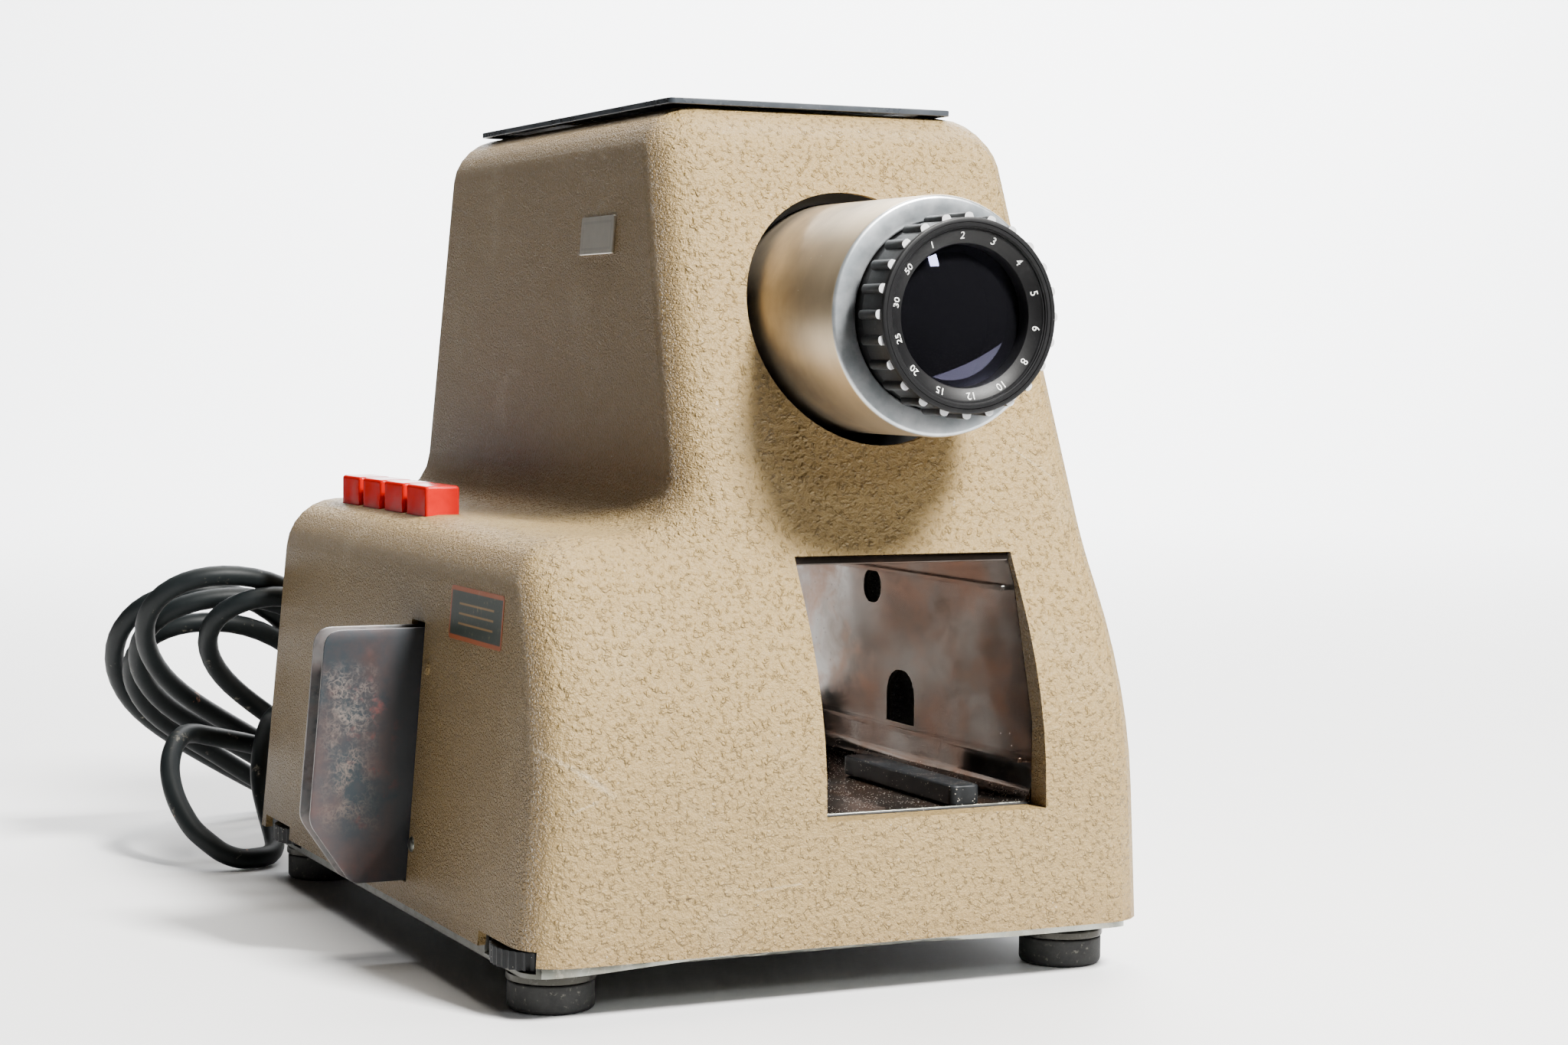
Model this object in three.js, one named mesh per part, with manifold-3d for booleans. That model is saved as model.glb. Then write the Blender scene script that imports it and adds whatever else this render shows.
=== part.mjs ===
// A slide projector of the 1950s: a moulded casing with a low step beside a tall tower, a projection lens,
// an open tunnel for the slide magazine, a row of push buttons and a slide changer at the side.
// Millimetres. X runs to the right as seen from the front, Y to the back and Z up.
// Places are measured from the casing's left edge, its front face and the floor.
import * as THREE from 'three';
import { mergeVertices } from 'three/addons/utils/BufferGeometryUtils.js';
import Module from 'manifold-3d';

const wasm = await Module();
wasm.setup();

// Driving dimensions

const gap = 0.3;
const overrun = 20;

const casing = {
  stepWidth: 52.2,
  towerWidth: 125.8,
  depth: 246,
  bottom: 14.3,
  top: 233.3,
  stepTop: 117.6,
  wall: 2.2,
  edgeRadius: 16,
  filletRadius: 15,
  frontRadius: 13,
  rearRadius: 4,
  stepRise: 0.5,
  leftDraft: 0.077,
  towerDraft: 0.075,
  rightDraft: 0.05,
  rearDraft: 0.05,
};
const casingWidth = casing.stepWidth + casing.towerWidth;

// The front stands upright, bends back above the magazine window and then leans back up to the top
const front = {
  bendStart: 50,
  bendEnd: 104,
  leanStart: 122,
  bendSlope: 0.6,
  lean: 0.384,
};

const lensShare = 0.4762;
const lens = {
  axisX: casing.stepWidth + casing.towerWidth * lensShare,
  axisZ: 174.4,
  holeRadius: 34.1,
  sleeveRadius: 31,
  sleeveWall: 1.6,
  sleeveFront: 1,
  sleeveRear: 78,
  ringRadius: 26,
  ringFront: -14.4,
  ringLength: 11.4,
  cellRadius: 24,
  cellRear: 62,
  glassRadius: 19,
};

const windowReach = 31.5;
const tunnel = {
  left: lens.axisX - windowReach,
  width: 63.9,
  floor: 46.2,
  height: 66,
  sheet: 1.2,
  frontY: 8.2,
  frontLeanStart: 68,
  frontLean: 0.297,
  topLean: 0.26,
  rearReach: 3,
  cornerRadius: 5,
  ledgeReach: 2.6,
  lowLedge: 58,
  highLedge: 103,
};

const buttons = {
  count: 4,
  left: 19.1,
  front: 136,
  pitch: 21.4,
  width: 10.2,
  length: 18,
  height: 8.4,
  travel: 3.5,
};

const changer = {
  front: 96.6,
  thickness: 10.6,
  bottom: 20.8,
  top: 89.6,
  reach: 27.6,
  sheet: 0.8,
  travel: 25,
};

const foot = {
  inset: 15.1,
  frontY: 23.1,
  rearInset: 21.9,
  rubberRadius: 11.1,
  rubberHeight: 7.4,
  cupRadius: 11.5,
  cupHeight: 2.2,
  wheelRadius: 15.6,
  wheelThickness: 4.8,
  spindleRadius: 3,
  travel: 6,
};

const footRearY = casing.depth - foot.rearInset;

const slide = { frame: 50, thickness: 3 };

// Plain solids

// A closed geometry turned so that its faces point out
function outward(geometry) {
  const positions = geometry.attributes.position;
  const index = geometry.index.array;
  const [a, b, c] = [new THREE.Vector3(), new THREE.Vector3(), new THREE.Vector3()];
  let volume = 0;
  for (let i = 0; i < index.length; i += 3) {
    a.fromBufferAttribute(positions, index[i]);
    b.fromBufferAttribute(positions, index[i + 1]);
    c.fromBufferAttribute(positions, index[i + 2]);
    volume += a.dot(b.cross(c));
  }
  if (volume < 0) {
    for (let i = 0; i < index.length; i += 3) {
      [index[i + 1], index[i + 2]] = [index[i + 2], index[i + 1]];
    }
  }
  return geometry;
}

// Merged corners, and no triangle that has two corners alike
function welded(geometry) {
  const plain = new THREE.BufferGeometry();
  plain.setAttribute('position', geometry.attributes.position.clone());
  if (geometry.index) plain.setIndex(geometry.index.clone());
  const merged = mergeVertices(plain);
  const kept = [];
  const index = merged.index.array;
  for (let i = 0; i < index.length; i += 3) {
    const [a, b, c] = [index[i], index[i + 1], index[i + 2]];
    if (a !== b && b !== c && c !== a) kept.push(a, b, c);
  }
  merged.setIndex(kept);
  return outward(merged);
}

function toSolid(geometry) {
  const merged = welded(geometry);
  return new wasm.Manifold(new wasm.Mesh({
    numProp: 3,
    vertProperties: new Float32Array(merged.attributes.position.array),
    triVerts: new Uint32Array(merged.index.array),
  }));
}

function toGeometry(solid) {
  const mesh = solid.getMesh();
  const geometry = new THREE.BufferGeometry();
  geometry.setAttribute('position', new THREE.BufferAttribute(mesh.vertProperties, 3));
  geometry.setIndex(new THREE.BufferAttribute(mesh.triVerts, 1));
  return geometry;
}

const join = (...shapes) => shapes.reduce((sum, shape) => sum.add(shape));
const cut = (body, ...tools) => tools.reduce((rest, tool) => rest.subtract(tool), body);

function block([x0, x1], [y0, y1], [z0, z1]) {
  const geometry = new THREE.BoxGeometry(x1 - x0, y1 - y0, z1 - z0);
  geometry.translate((x0 + x1) / 2, (y0 + y1) / 2, (z0 + z1) / 2);
  return toSolid(geometry);
}

// An outline drawn square to an axis and pushed along it: x takes (y, z), y takes (x, z) and z takes (x, y)
function prism(outline, axis, [from, to], holes = []) {
  const shape = new THREE.Shape(outline.map(([u, v]) => new THREE.Vector2(u, v)));
  const geometry = new THREE.ExtrudeGeometry(shape, { depth: to - from, bevelEnabled: false });
  const basis = new THREE.Matrix4();
  if (axis === 'x') {
    basis.makeBasis(new THREE.Vector3(0, 1, 0), new THREE.Vector3(0, 0, 1), new THREE.Vector3(1, 0, 0));
    basis.setPosition(from, 0, 0);
  }
  if (axis === 'y') {
    basis.makeBasis(new THREE.Vector3(1, 0, 0), new THREE.Vector3(0, 0, 1), new THREE.Vector3(0, -1, 0));
    basis.setPosition(0, to, 0);
  }
  if (axis === 'z') basis.setPosition(0, 0, from);
  geometry.applyMatrix4(basis);
  const reach = to - from;
  return cut(toSolid(geometry), ...holes.map((hole) => prism(hole, axis, [from - reach, to + reach])));
}

// A profile of [radius, height] pairs turned about an axis through centre
function turned(profile, axis, centre, sides) {
  const geometry = new THREE.LatheGeometry(profile.map(([r, h]) => new THREE.Vector2(r, h)), sides);
  if (axis === 'z') geometry.rotateX(Math.PI / 2);
  if (axis === 'x') geometry.rotateZ(-Math.PI / 2);
  geometry.translate(...centre);
  return toSolid(geometry);
}

function disc(radius, axis, centre, [from, to], sides) {
  return turned([[0, from], [radius, from], [radius, to], [0, to]], axis, centre, sides);
}

function ringOf(inner, outer, axis, centre, [from, to], sides) {
  const profile = [[inner, from], [outer, from], [outer, to], [inner, to], [inner, from]];
  return turned(profile, axis, centre, sides);
}

// Corner points of an outline, each rounded by its own radius
function rounded(points, radius, steps = 4) {
  const outline = [];
  points.forEach((point, i) => {
    const r = Array.isArray(radius) ? radius[i] : radius;
    const here = new THREE.Vector2(...point);
    if (r <= 0) {
      outline.push(point);
      return;
    }
    const back = new THREE.Vector2(...points[(i + points.length - 1) % points.length]).sub(here).normalize();
    const ahead = new THREE.Vector2(...points[(i + 1) % points.length]).sub(here).normalize();
    const half = Math.acos(THREE.MathUtils.clamp(back.dot(ahead), -1, 1)) / 2;
    const centre = here.clone().addScaledVector(back.clone().add(ahead).normalize(), r / Math.sin(half));
    const start = here.clone().addScaledVector(back, r / Math.tan(half)).sub(centre);
    const end = here.clone().addScaledVector(ahead, r / Math.tan(half)).sub(centre);
    const turn = Math.atan2(start.x * end.y - start.y * end.x, start.dot(end));
    for (let k = 0; k <= steps; k += 1) {
      const spoke = start.clone().rotateAround(new THREE.Vector2(), turn * k / steps);
      outline.push([centre.x + spoke.x, centre.y + spoke.y]);
    }
  });
  return outline;
}

const rectangle = ([u0, u1], [v0, v1]) => [[u0, v0], [u1, v0], [u1, v1], [u0, v1]];

// Casing shape

function frontY(z) {
  const bend = front.bendEnd - front.bendStart;
  const ease = front.leanStart - front.bendEnd;
  const rise = THREE.MathUtils.clamp(z - front.bendStart, 0, bend);
  const settle = THREE.MathUtils.clamp(z - front.bendEnd, 0, ease);
  const beyond = Math.max(z - front.leanStart, 0);
  return front.bendSlope * rise * rise / (2 * bend)
    + front.bendSlope * settle + (front.lean - front.bendSlope) * settle * settle / (2 * ease)
    + front.lean * beyond;
}

const rearY = (z) => casing.depth - casing.rearDraft * (z - casing.bottom);

// The left side of the casing's section, as points with their outward normals: up the outer wall, over the
// step, round the fillet and up the tower
function leftSide() {
  const wallX = (z) => casing.leftDraft * (z - casing.bottom);
  const towerX = (z) => casing.stepWidth + casing.towerDraft * (z - casing.stepTop);
  const stepEnd = casing.stepTop + casing.stepRise;
  const corners = [
    new THREE.Vector2(0, casing.bottom),
    new THREE.Vector2(wallX(casing.stepTop), casing.stepTop),
    new THREE.Vector2(towerX(stepEnd), stepEnd),
    new THREE.Vector2(towerX(casing.top), casing.top),
    new THREE.Vector2(lens.axisX, casing.top),
  ];
  const radii = [0, casing.edgeRadius, casing.filletRadius, casing.edgeRadius, 0];
  const levels = [0, 6, 5, 6, 0];
  const side = [];
  const add = (point, normal) => side.push({ x: point.x, z: point.y, nx: normal.x, nz: normal.y });
  for (let i = 1; i < corners.length - 1; i += 1) {
    const ahead = corners[i + 1].clone().sub(corners[i]).normalize();
    const back = corners[i - 1].clone().sub(corners[i]).normalize();
    const half = Math.acos(back.dot(ahead)) / 2;
    const reach = radii[i] / Math.tan(half);
    const inward = back.clone().add(ahead).normalize();
    const centre = corners[i].clone().addScaledVector(inward, radii[i] / Math.sin(half));
    const start = corners[i].clone().addScaledVector(back, reach);
    const bulge = Math.sign(ahead.x * -back.y + ahead.y * back.x);
    const end = corners[i].clone().addScaledVector(ahead, reach);
    if (i === 1) {
      const wall = start.clone().sub(corners[0]);
      const normal = new THREE.Vector2(-wall.y, wall.x).normalize();
      const heights = [casing.bottom, tunnel.floor, front.bendStart];
      const bends = 5;
      for (let k = 1; k <= bends; k += 1) {
        heights.push(front.bendStart + (start.y - front.bendStart) * k / (bends + 1));
      }
      heights.forEach((z) => add(new THREE.Vector2(wallX(z), z), normal));
    }
    const from = start.clone().sub(centre);
    const to = end.clone().sub(centre);
    const turn = Math.atan2(from.x * to.y - from.y * to.x, from.dot(to));
    for (let k = 0; k <= levels[i]; k += 1) {
      const spoke = from.clone().rotateAround(new THREE.Vector2(), turn * k / levels[i]);
      add(centre.clone().add(spoke), spoke.clone().normalize().multiplyScalar(bulge));
    }
  }
  return side;
}

// Where the right side lies at a height, set in from the outer surface
function rightX(z, inset) {
  const slant = Math.hypot(1, casing.rightDraft);
  const wall = casingWidth - casing.rightDraft * (z - casing.bottom) - inset * slant;
  const centreZ = casing.top - casing.edgeRadius;
  const centreX = casingWidth - casing.rightDraft * (centreZ - casing.bottom) - casing.edgeRadius * slant;
  const radius = casing.edgeRadius - inset;
  if (z <= centreZ + radius * casing.rightDraft / slant) return wall;
  return centreX + Math.sqrt(Math.max(radius * radius - (z - centreZ) * (z - centreZ), 0));
}

// The casing's form set in by a distance, as one loop of points for each step from front to rear
function casingForm(inset, bottom, rings) {
  const side = leftSide();
  const loops = rings.map(({ tuck, y }) => {
    const total = inset + tuck;
    const left = side.map(({ x, z, nx, nz }, i) => {
      if (i > 0) return [x - nx * total, z - nz * total];
      return [casing.leftDraft * (bottom - casing.bottom) - total / nx, bottom];
    });
    const right = left.map(([, z]) => [rightX(z, total), z]).reverse();
    return [...left, ...right].map(([x, z]) => [x, y(z), z]);
  });
  return lofted(loops);
}

// A closed skin over loops that mirror left and right points at the same heights
function lofted(loops) {
  const count = loops[0].length;
  const positions = loops.flat(2);
  const index = [];
  for (let k = 0; k < loops.length - 1; k += 1) {
    for (let i = 0; i < count; i += 1) {
      const [a, b] = [k * count + i, k * count + (i + 1) % count];
      index.push(a, a + count, b, b, a + count, b + count);
    }
  }
  const last = (loops.length - 1) * count;
  for (let i = 0; i < count / 2 - 1; i += 1) {
    const [low, high] = [i, i + 1];
    const [lowMate, highMate] = [count - 1 - low, count - 1 - high];
    index.push(low, high, highMate, low, highMate, lowMate);
    index.push(last + low, last + highMate, last + high, last + low, last + lowMate, last + highMate);
  }
  const geometry = new THREE.BufferGeometry();
  geometry.setAttribute('position', new THREE.Float32BufferAttribute(positions, 3));
  geometry.setIndex(index);
  return toSolid(geometry);
}

// Loops that round the front edge by a radius and the rear edge by another
function casingRings(frontGap, frontRadius, rearGap, rearRadius) {
  const rings = [];
  const frontSteps = 5;
  for (let k = 0; k <= frontSteps; k += 1) {
    const angle = Math.PI / 2 * (1 - k / frontSteps);
    rings.push({
      tuck: frontRadius * (1 - Math.cos(angle)),
      y: (z) => frontY(z) + frontGap + frontRadius * (1 - Math.sin(angle)),
    });
  }
  const rearSteps = rearRadius > 0 ? 2 : 0;
  for (let k = 0; k <= rearSteps; k += 1) {
    const angle = rearSteps ? Math.PI / 2 * k / rearSteps : 0;
    rings.push({
      tuck: rearRadius * (1 - Math.cos(angle)),
      y: (z) => rearY(z) - rearGap - rearRadius * (1 - Math.sin(angle)),
    });
  }
  return rings;
}

const tunnelRight = tunnel.left + tunnel.width;
const tunnelTop = tunnel.floor + tunnel.height;
const tunnelFront = (z) => tunnel.frontY + tunnel.frontLean * Math.max(z - tunnel.frontLeanStart, 0)
  + tunnel.topLean * Math.max(z - front.bendEnd, 0);

const notch = { front: 4, rear: 36, rearHalf: 13.4, top: 18.2 };
const slot = { clearance: 0.5, headroom: 1.4 };
const lidEdge = { left: 15.2, right: 24.2, front: 74, rear: 18 };
const lid = {
  left: casing.stepWidth + lidEdge.left,
  right: casingWidth - lidEdge.right,
  front: lidEdge.front,
  rear: casing.depth - lidEdge.rear,
  height: 2.6,
  sheet: 1,
  cornerRadius: 2,
};
const lidMargin = { left: 8.6, right: 6.8, front: 14, rear: 10 };
const lidOpening = {
  left: lid.left + lidMargin.left,
  right: lid.right - lidMargin.right,
  front: lid.front + lidMargin.front,
  rear: lid.rear - lidMargin.rear,
};

function buttonPlace(i) {
  const y0 = buttons.front + i * buttons.pitch;
  return { x: [buttons.left, buttons.left + buttons.width], y: [y0, y0 + buttons.length] };
}

function buildHousing() {
  const inner = casing.frontRadius - casing.wall;
  const outerForm = casingForm(0, casing.bottom, casingRings(0, casing.frontRadius, 0, casing.rearRadius));
  const cavity = casingForm(
    casing.wall,
    casing.bottom - overrun,
    casingRings(casing.wall * Math.hypot(1, front.lean), inner, -overrun, 0),
  );
  // The window's edge turns inwards to meet the magazine tunnel
  const lipOuter = block(
    [tunnel.left - casing.wall, tunnelRight + casing.wall],
    [-overrun, tunnelFront(tunnelTop) + overrun],
    [tunnel.floor - casing.wall, tunnelTop + casing.wall],
  );
  const lipEnd = [
    [-overrun, tunnel.floor - overrun],
    [tunnel.frontY - gap, tunnel.floor - overrun],
    [tunnel.frontY - gap, tunnel.frontLeanStart],
    [tunnelFront(front.bendEnd) - gap, front.bendEnd],
    [tunnelFront(tunnelTop + overrun) - gap, tunnelTop + overrun],
    [-overrun, tunnelTop + overrun],
  ];
  const lip = lipOuter.intersect(prism(lipEnd, 'x', [0, casingWidth])).intersect(outerForm);
  const window = block([tunnel.left, tunnelRight], [-overrun, overrun * 2], [tunnel.floor, tunnelTop]);
  const lensHole = disc(lens.holeRadius, 'y', [lens.axisX, 0, lens.axisZ], [0, casing.depth / 2], 64);
  const changerSlot = block(
    [-overrun, overrun],
    [changer.front - slot.clearance, changer.front + changer.thickness + slot.clearance],
    [changer.bottom - slot.clearance, changer.top + slot.headroom],
  );
  const frontNotch = block([-overrun, overrun], [notch.front, notch.rear], [0, notch.top]);
  const rearNotch = block(
    [-overrun, overrun],
    [footRearY - notch.rearHalf, footRearY + notch.rearHalf],
    [0, notch.top],
  );
  const holes = Array.from({ length: buttons.count }, (unused, i) => {
    const { x, y } = buttonPlace(i);
    const span = [casing.stepTop - overrun, casing.stepTop + overrun];
    return block([x[0] - gap, x[1] + gap], [y[0] - gap, y[1] + gap], span);
  });
  const roofHole = block(
    [lidOpening.left, lidOpening.right],
    [lidOpening.front, lidOpening.rear],
    [casing.top - overrun, casing.top + overrun],
  );
  const shell = join(cut(outerForm, cavity), lip);
  return cut(shell, window, lensHole, changerSlot, frontNotch, rearNotch, roofHole, ...holes);
}

// Rear panel, set into the casing's open back

const rear = {
  recess: 2.5,
  sheet: 1.4,
  lowEdge: 2,
  louvreCount: 9,
  louvreFirst: 140,
  louvrePitch: 9,
  louvreHeight: 3.6,
  louvreInsetLeft: 23.8,
  louvreInsetRight: 28,
  leadX: 14,
  leadZ: 46,
  leadHole: 6.1,
};

const rearFace = (z) => rearY(z) - rear.recess;

function buildRearPanel() {
  const rings = [rear.sheet, 0].map((depth) => ({ tuck: 0, y: (z) => rearFace(z) - depth }));
  const panel = casingForm(casing.wall + gap, casing.bottom + rear.lowEdge, rings);
  const span = [casing.depth - overrun * 2, casing.depth + overrun];
  const exit = block(
    [tunnel.left - tunnel.sheet - gap, tunnelRight + tunnel.sheet + gap],
    span,
    [tunnel.floor - tunnel.sheet - gap, tunnelTop + tunnel.sheet + gap],
  );
  const louvres = Array.from({ length: rear.louvreCount }, (unused, i) => {
    const z = rear.louvreFirst + i * rear.louvrePitch;
    const [x0, x1] = [casing.stepWidth + rear.louvreInsetLeft, casingWidth - rear.louvreInsetRight];
    return block([x0, x1], span, [z, z + rear.louvreHeight]);
  });
  const leadHole = disc(rear.leadHole, 'y', [rear.leadX, 0, rear.leadZ], span, 24);
  return cut(panel, exit, leadHole, ...louvres);
}

// Base pan with a turned-up rim

const pan = {
  inset: 3.1, bottom: 10.4, sheet: 1.2, rimTop: 18, cornerRadius: 9.5, frontInset: 2.9, wheelGap: 0.7,
};

const footPlaces = {
  front_left: [foot.inset, foot.frontY],
  rear_left: [foot.inset, footRearY],
  front_right: [casingWidth - foot.inset, foot.frontY],
  rear_right: [casingWidth - foot.inset, footRearY],
};

function buildPan() {
  const right = casingWidth - pan.inset;
  const back = casing.depth - rear.recess - rear.sheet - gap * 2;
  const outline = (inset) => rounded(
    rectangle([pan.inset + inset, right - inset], [pan.frontInset + inset, back - inset]),
    pan.cornerRadius - inset,
    5,
  );
  const tray = cut(
    prism(outline(0), 'z', [pan.bottom, pan.rimTop]),
    prism(outline(pan.sheet), 'z', [pan.bottom + pan.sheet, pan.rimTop + overrun]),
  );
  const bores = Object.values(footPlaces).map(([x, y]) => (
    disc(foot.spindleRadius + gap, 'z', [x, y, 0], [0, pan.rimTop], 20)
  ));
  const wheelRooms = [footPlaces.front_left, footPlaces.rear_left].map(([x, y]) => block(
    [-overrun, x],
    [y - foot.wheelRadius - pan.wheelGap, y + foot.wheelRadius + pan.wheelGap],
    [pan.bottom + pan.sheet, pan.rimTop + overrun],
  ));
  return cut(tray, ...bores, ...wheelRooms);
}

// Feet. Those on the left stand on spindles that the knurled wheels raise and lower.

const cupTop = foot.rubberHeight + gap + foot.cupHeight;
const wheelBottom = pan.bottom + pan.sheet + gap;

function buildRubber([x, y]) {
  const r = foot.rubberRadius;
  const chamfer = r / 14;
  const profile = [
    [0, 0], [r - chamfer, 0], [r, chamfer], [r, foot.rubberHeight], [0, foot.rubberHeight],
  ];
  return turned(profile, 'z', [x, y, 0], 24);
}

function buildSpindle([x, y], top) {
  const base = foot.rubberHeight + gap;
  const rim = foot.cupRadius;
  const r = foot.spindleRadius;
  const profile = [
    [0, base], [rim, base], [rim, cupTop - gap], [rim - gap * 2, cupTop], [r, cupTop], [r, top], [0, top],
  ];
  return turned(profile, 'z', [x, y, 0], 24);
}

function buildWheel([x, y]) {
  const teeth = 40;
  const depth = foot.wheelRadius / 24;
  const outline = [];
  for (let i = 0; i < teeth * 2; i += 1) {
    const angle = Math.PI * i / teeth;
    const r = foot.wheelRadius - (i % 2 ? depth : 0);
    outline.push([x + r * Math.cos(angle), y + r * Math.sin(angle)]);
  }
  const bore = [];
  const sides = 20;
  for (let i = 0; i < sides; i += 1) {
    const angle = Math.PI * 2 * i / sides;
    const reach = foot.spindleRadius + gap;
    bore.push([x + reach * Math.cos(angle), y + reach * Math.sin(angle)]);
  }
  return prism(outline, 'z', [wheelBottom, wheelBottom + foot.wheelThickness], [bore]);
}

// Magazine tunnel

const tunnelSlot = { width: 54, thickness: 6, y: 84 };
const sideSlot = {
  ovalY: 102, ovalZ: 97, ovalHeight: 9.6, ovalWidth: 11,
  archY: 83.5, archBottom: 57.6, archTop: 74, archWidth: 17,
};

function slotOutline(centreY, width, bottom, top, roundBottom) {
  const radius = Math.min(width, top - bottom) / 2 - gap;
  return rounded(
    rectangle([centreY - width / 2, centreY + width / 2], [bottom, top]),
    [roundBottom ? radius : 0, roundBottom ? radius : 0, radius, radius],
    5,
  );
}

function buildTunnel() {
  const back = (z) => rearY(z) + tunnel.rearReach;
  const low = tunnel.floor - tunnel.sheet;
  const high = tunnelTop + tunnel.sheet;
  const outer = prism(rounded(
    rectangle([tunnel.left - tunnel.sheet, tunnelRight + tunnel.sheet], [low, high]),
    tunnel.sheet * 2,
    3,
  ), 'y', [0, casing.depth + overrun]);
  const inner = prism(rounded(
    rectangle([tunnel.left, tunnelRight], [tunnel.floor, tunnelTop]),
    [0, tunnel.cornerRadius, 0, 0].map((r) => r || gap * 2),
    3,
  ), 'y', [-overrun, casing.depth + overrun * 2]);
  const sideProfile = [
    [tunnel.frontY, low - overrun],
    [back(low), low - overrun],
    [back(high), high + overrun],
    [tunnelFront(high + overrun), high + overrun],
    [tunnelFront(front.bendEnd), front.bendEnd],
    [tunnel.frontY, tunnel.frontLeanStart],
  ];
  const tube = cut(outer, inner).intersect(prism(sideProfile, 'x', [0, casingWidth]));
  const ledges = [tunnel.lowLedge, tunnel.highLedge].map((z) => block(
    [tunnelRight - tunnel.ledgeReach, tunnelRight + tunnel.sheet / 2],
    [tunnelFront(z) + tunnel.ledgeReach, casing.depth - overrun],
    [z - tunnel.sheet, z],
  ));
  const roofSlot = block(
    [lens.axisX - tunnelSlot.width / 2, lens.axisX + tunnelSlot.width / 2],
    [tunnelSlot.y, tunnelSlot.y + tunnelSlot.thickness],
    [tunnelTop - overrun, tunnelTop + overrun],
  );
  const wall = [tunnelRight - tunnel.sheet, tunnelRight + overrun];
  const oval = prism(slotOutline(
    sideSlot.ovalY, sideSlot.ovalWidth, sideSlot.ovalZ - sideSlot.ovalHeight / 2,
    sideSlot.ovalZ + sideSlot.ovalHeight / 2, true,
  ), 'x', wall);
  const arch = prism(slotOutline(
    sideSlot.archY, sideSlot.archWidth, sideSlot.archBottom + tunnel.sheet, sideSlot.archTop, false,
  ), 'x', wall);
  return cut(join(tube, ...ledges), roofSlot, oval, arch);
}

const guideBar = { left: 121.5, width: 8.6, height: 5.4, front: 9.5, rear: 74, cornerRadius: 2 };

function buildGuideBar() {
  const outline = rounded(
    rectangle([guideBar.left, guideBar.left + guideBar.width], [guideBar.front, guideBar.rear]),
    guideBar.cornerRadius,
    4,
  );
  return prism(outline, 'z', [tunnel.floor + gap, tunnel.floor + gap + guideBar.height]);
}

// Two trestles carry the tunnel on the base pan

const trestle = { sheet: 2, width: 50, frontY: 44, rearInset: 50, length: 16 };

function buildTrestle(y) {
  const bottom = pan.bottom + pan.sheet + gap;
  const top = tunnel.floor - tunnel.sheet - gap;
  const centre = tunnel.left + tunnel.width / 2;
  const [x0, x1] = [centre - trestle.width / 2, centre + trestle.width / 2];
  const flange = trestle.sheet * 5;
  const outline = [
    [x0 - flange, bottom], [x0 + trestle.sheet, bottom], [x0 + trestle.sheet, top - trestle.sheet],
    [x1 - trestle.sheet, top - trestle.sheet], [x1 - trestle.sheet, bottom], [x1 + flange, bottom],
    [x1 + flange, bottom + trestle.sheet], [x1, bottom + trestle.sheet], [x1, top], [x0, top],
    [x0, bottom + trestle.sheet], [x0 - flange, bottom + trestle.sheet],
  ];
  return prism(outline, 'y', [y, y + trestle.length]);
}

// The bench lies on the tunnel and carries the lens, the gate and the lamp

const benchEdge = { left: 9.8, right: 16 };
const bench = {
  left: casing.stepWidth + benchEdge.left,
  right: casingWidth - benchEdge.right,
  front: 40,
  rear: 226,
  sheet: 1.6,
  flange: 8,
};
const benchBottom = tunnelTop + tunnel.sheet + gap;
const benchTop = benchBottom + bench.sheet;

function buildBench() {
  const outline = [
    [bench.left, benchBottom], [bench.right, benchBottom], [bench.right, benchTop + bench.flange],
    [bench.right - bench.sheet, benchTop + bench.flange], [bench.right - bench.sheet, benchTop],
    [bench.left + bench.sheet, benchTop], [bench.left + bench.sheet, benchTop + bench.flange],
    [bench.left, benchTop + bench.flange],
  ];
  const slideSlot = block(
    [lens.axisX - tunnelSlot.width / 2, lens.axisX + tunnelSlot.width / 2],
    [tunnelSlot.y, tunnelSlot.y + tunnelSlot.thickness],
    [benchBottom - overrun, benchTop + overrun],
  );
  return cut(prism(outline, 'y', [bench.front, bench.rear]), slideSlot);
}

// Lens

const lensCentre = [lens.axisX, 0, lens.axisZ];

function buildSleeve() {
  const outer = lens.sleeveRadius;
  const inner = outer - lens.sleeveWall;
  const lip = lens.cellRadius + gap;
  const chamfer = lens.sleeveWall / 2;
  const faceDepth = lens.sleeveWall * 2;
  const profile = [
    [lip, lens.sleeveFront + chamfer / 2], [outer - chamfer * 2, lens.sleeveFront],
    [outer, lens.sleeveFront + chamfer], [outer, lens.sleeveRear], [inner, lens.sleeveRear],
    [inner, lens.sleeveFront + faceDepth], [lip, lens.sleeveFront + faceDepth],
    [lip, lens.sleeveFront + chamfer / 2],
  ];
  return turned(profile, 'y', lensCentre, 64);
}

const lensMount = {
  y: 63, thickness: 3, halfWidth: 40, margin: 4.6, flange: 10, bossLength: 11, bossWall: 2,
};
const lensMountTop = lens.axisZ + lens.sleeveRadius + lensMount.margin;

function buildLensMount() {
  const bottom = benchTop + gap;
  const outline = rounded([
    [lens.axisX - lensMount.halfWidth, bottom], [lens.axisX + lensMount.halfWidth, bottom],
    [lens.axisX + lensMount.halfWidth, lensMountTop], [lens.axisX - lensMount.halfWidth, lensMountTop],
  ], [0, 0, lensMount.halfWidth / 2, lensMount.halfWidth / 2], 5);
  const plate = prism(outline, 'y', [lensMount.y, lensMount.y + lensMount.thickness]);
  const flange = block(
    [lens.axisX - lensMount.halfWidth, lens.axisX + lensMount.halfWidth],
    [lensMount.y, lensMount.y + lensMount.flange],
    [bottom, bottom + lensMount.thickness],
  );
  const bore = lens.sleeveRadius + gap;
  const boss = disc(
    bore + lensMount.bossWall, 'y', lensCentre, [lensMount.y, lensMount.y + lensMount.bossLength], 48,
  );
  return cut(join(plate, flange, boss), disc(bore, 'y', lensCentre, [0, casing.depth], 64));
}

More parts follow.
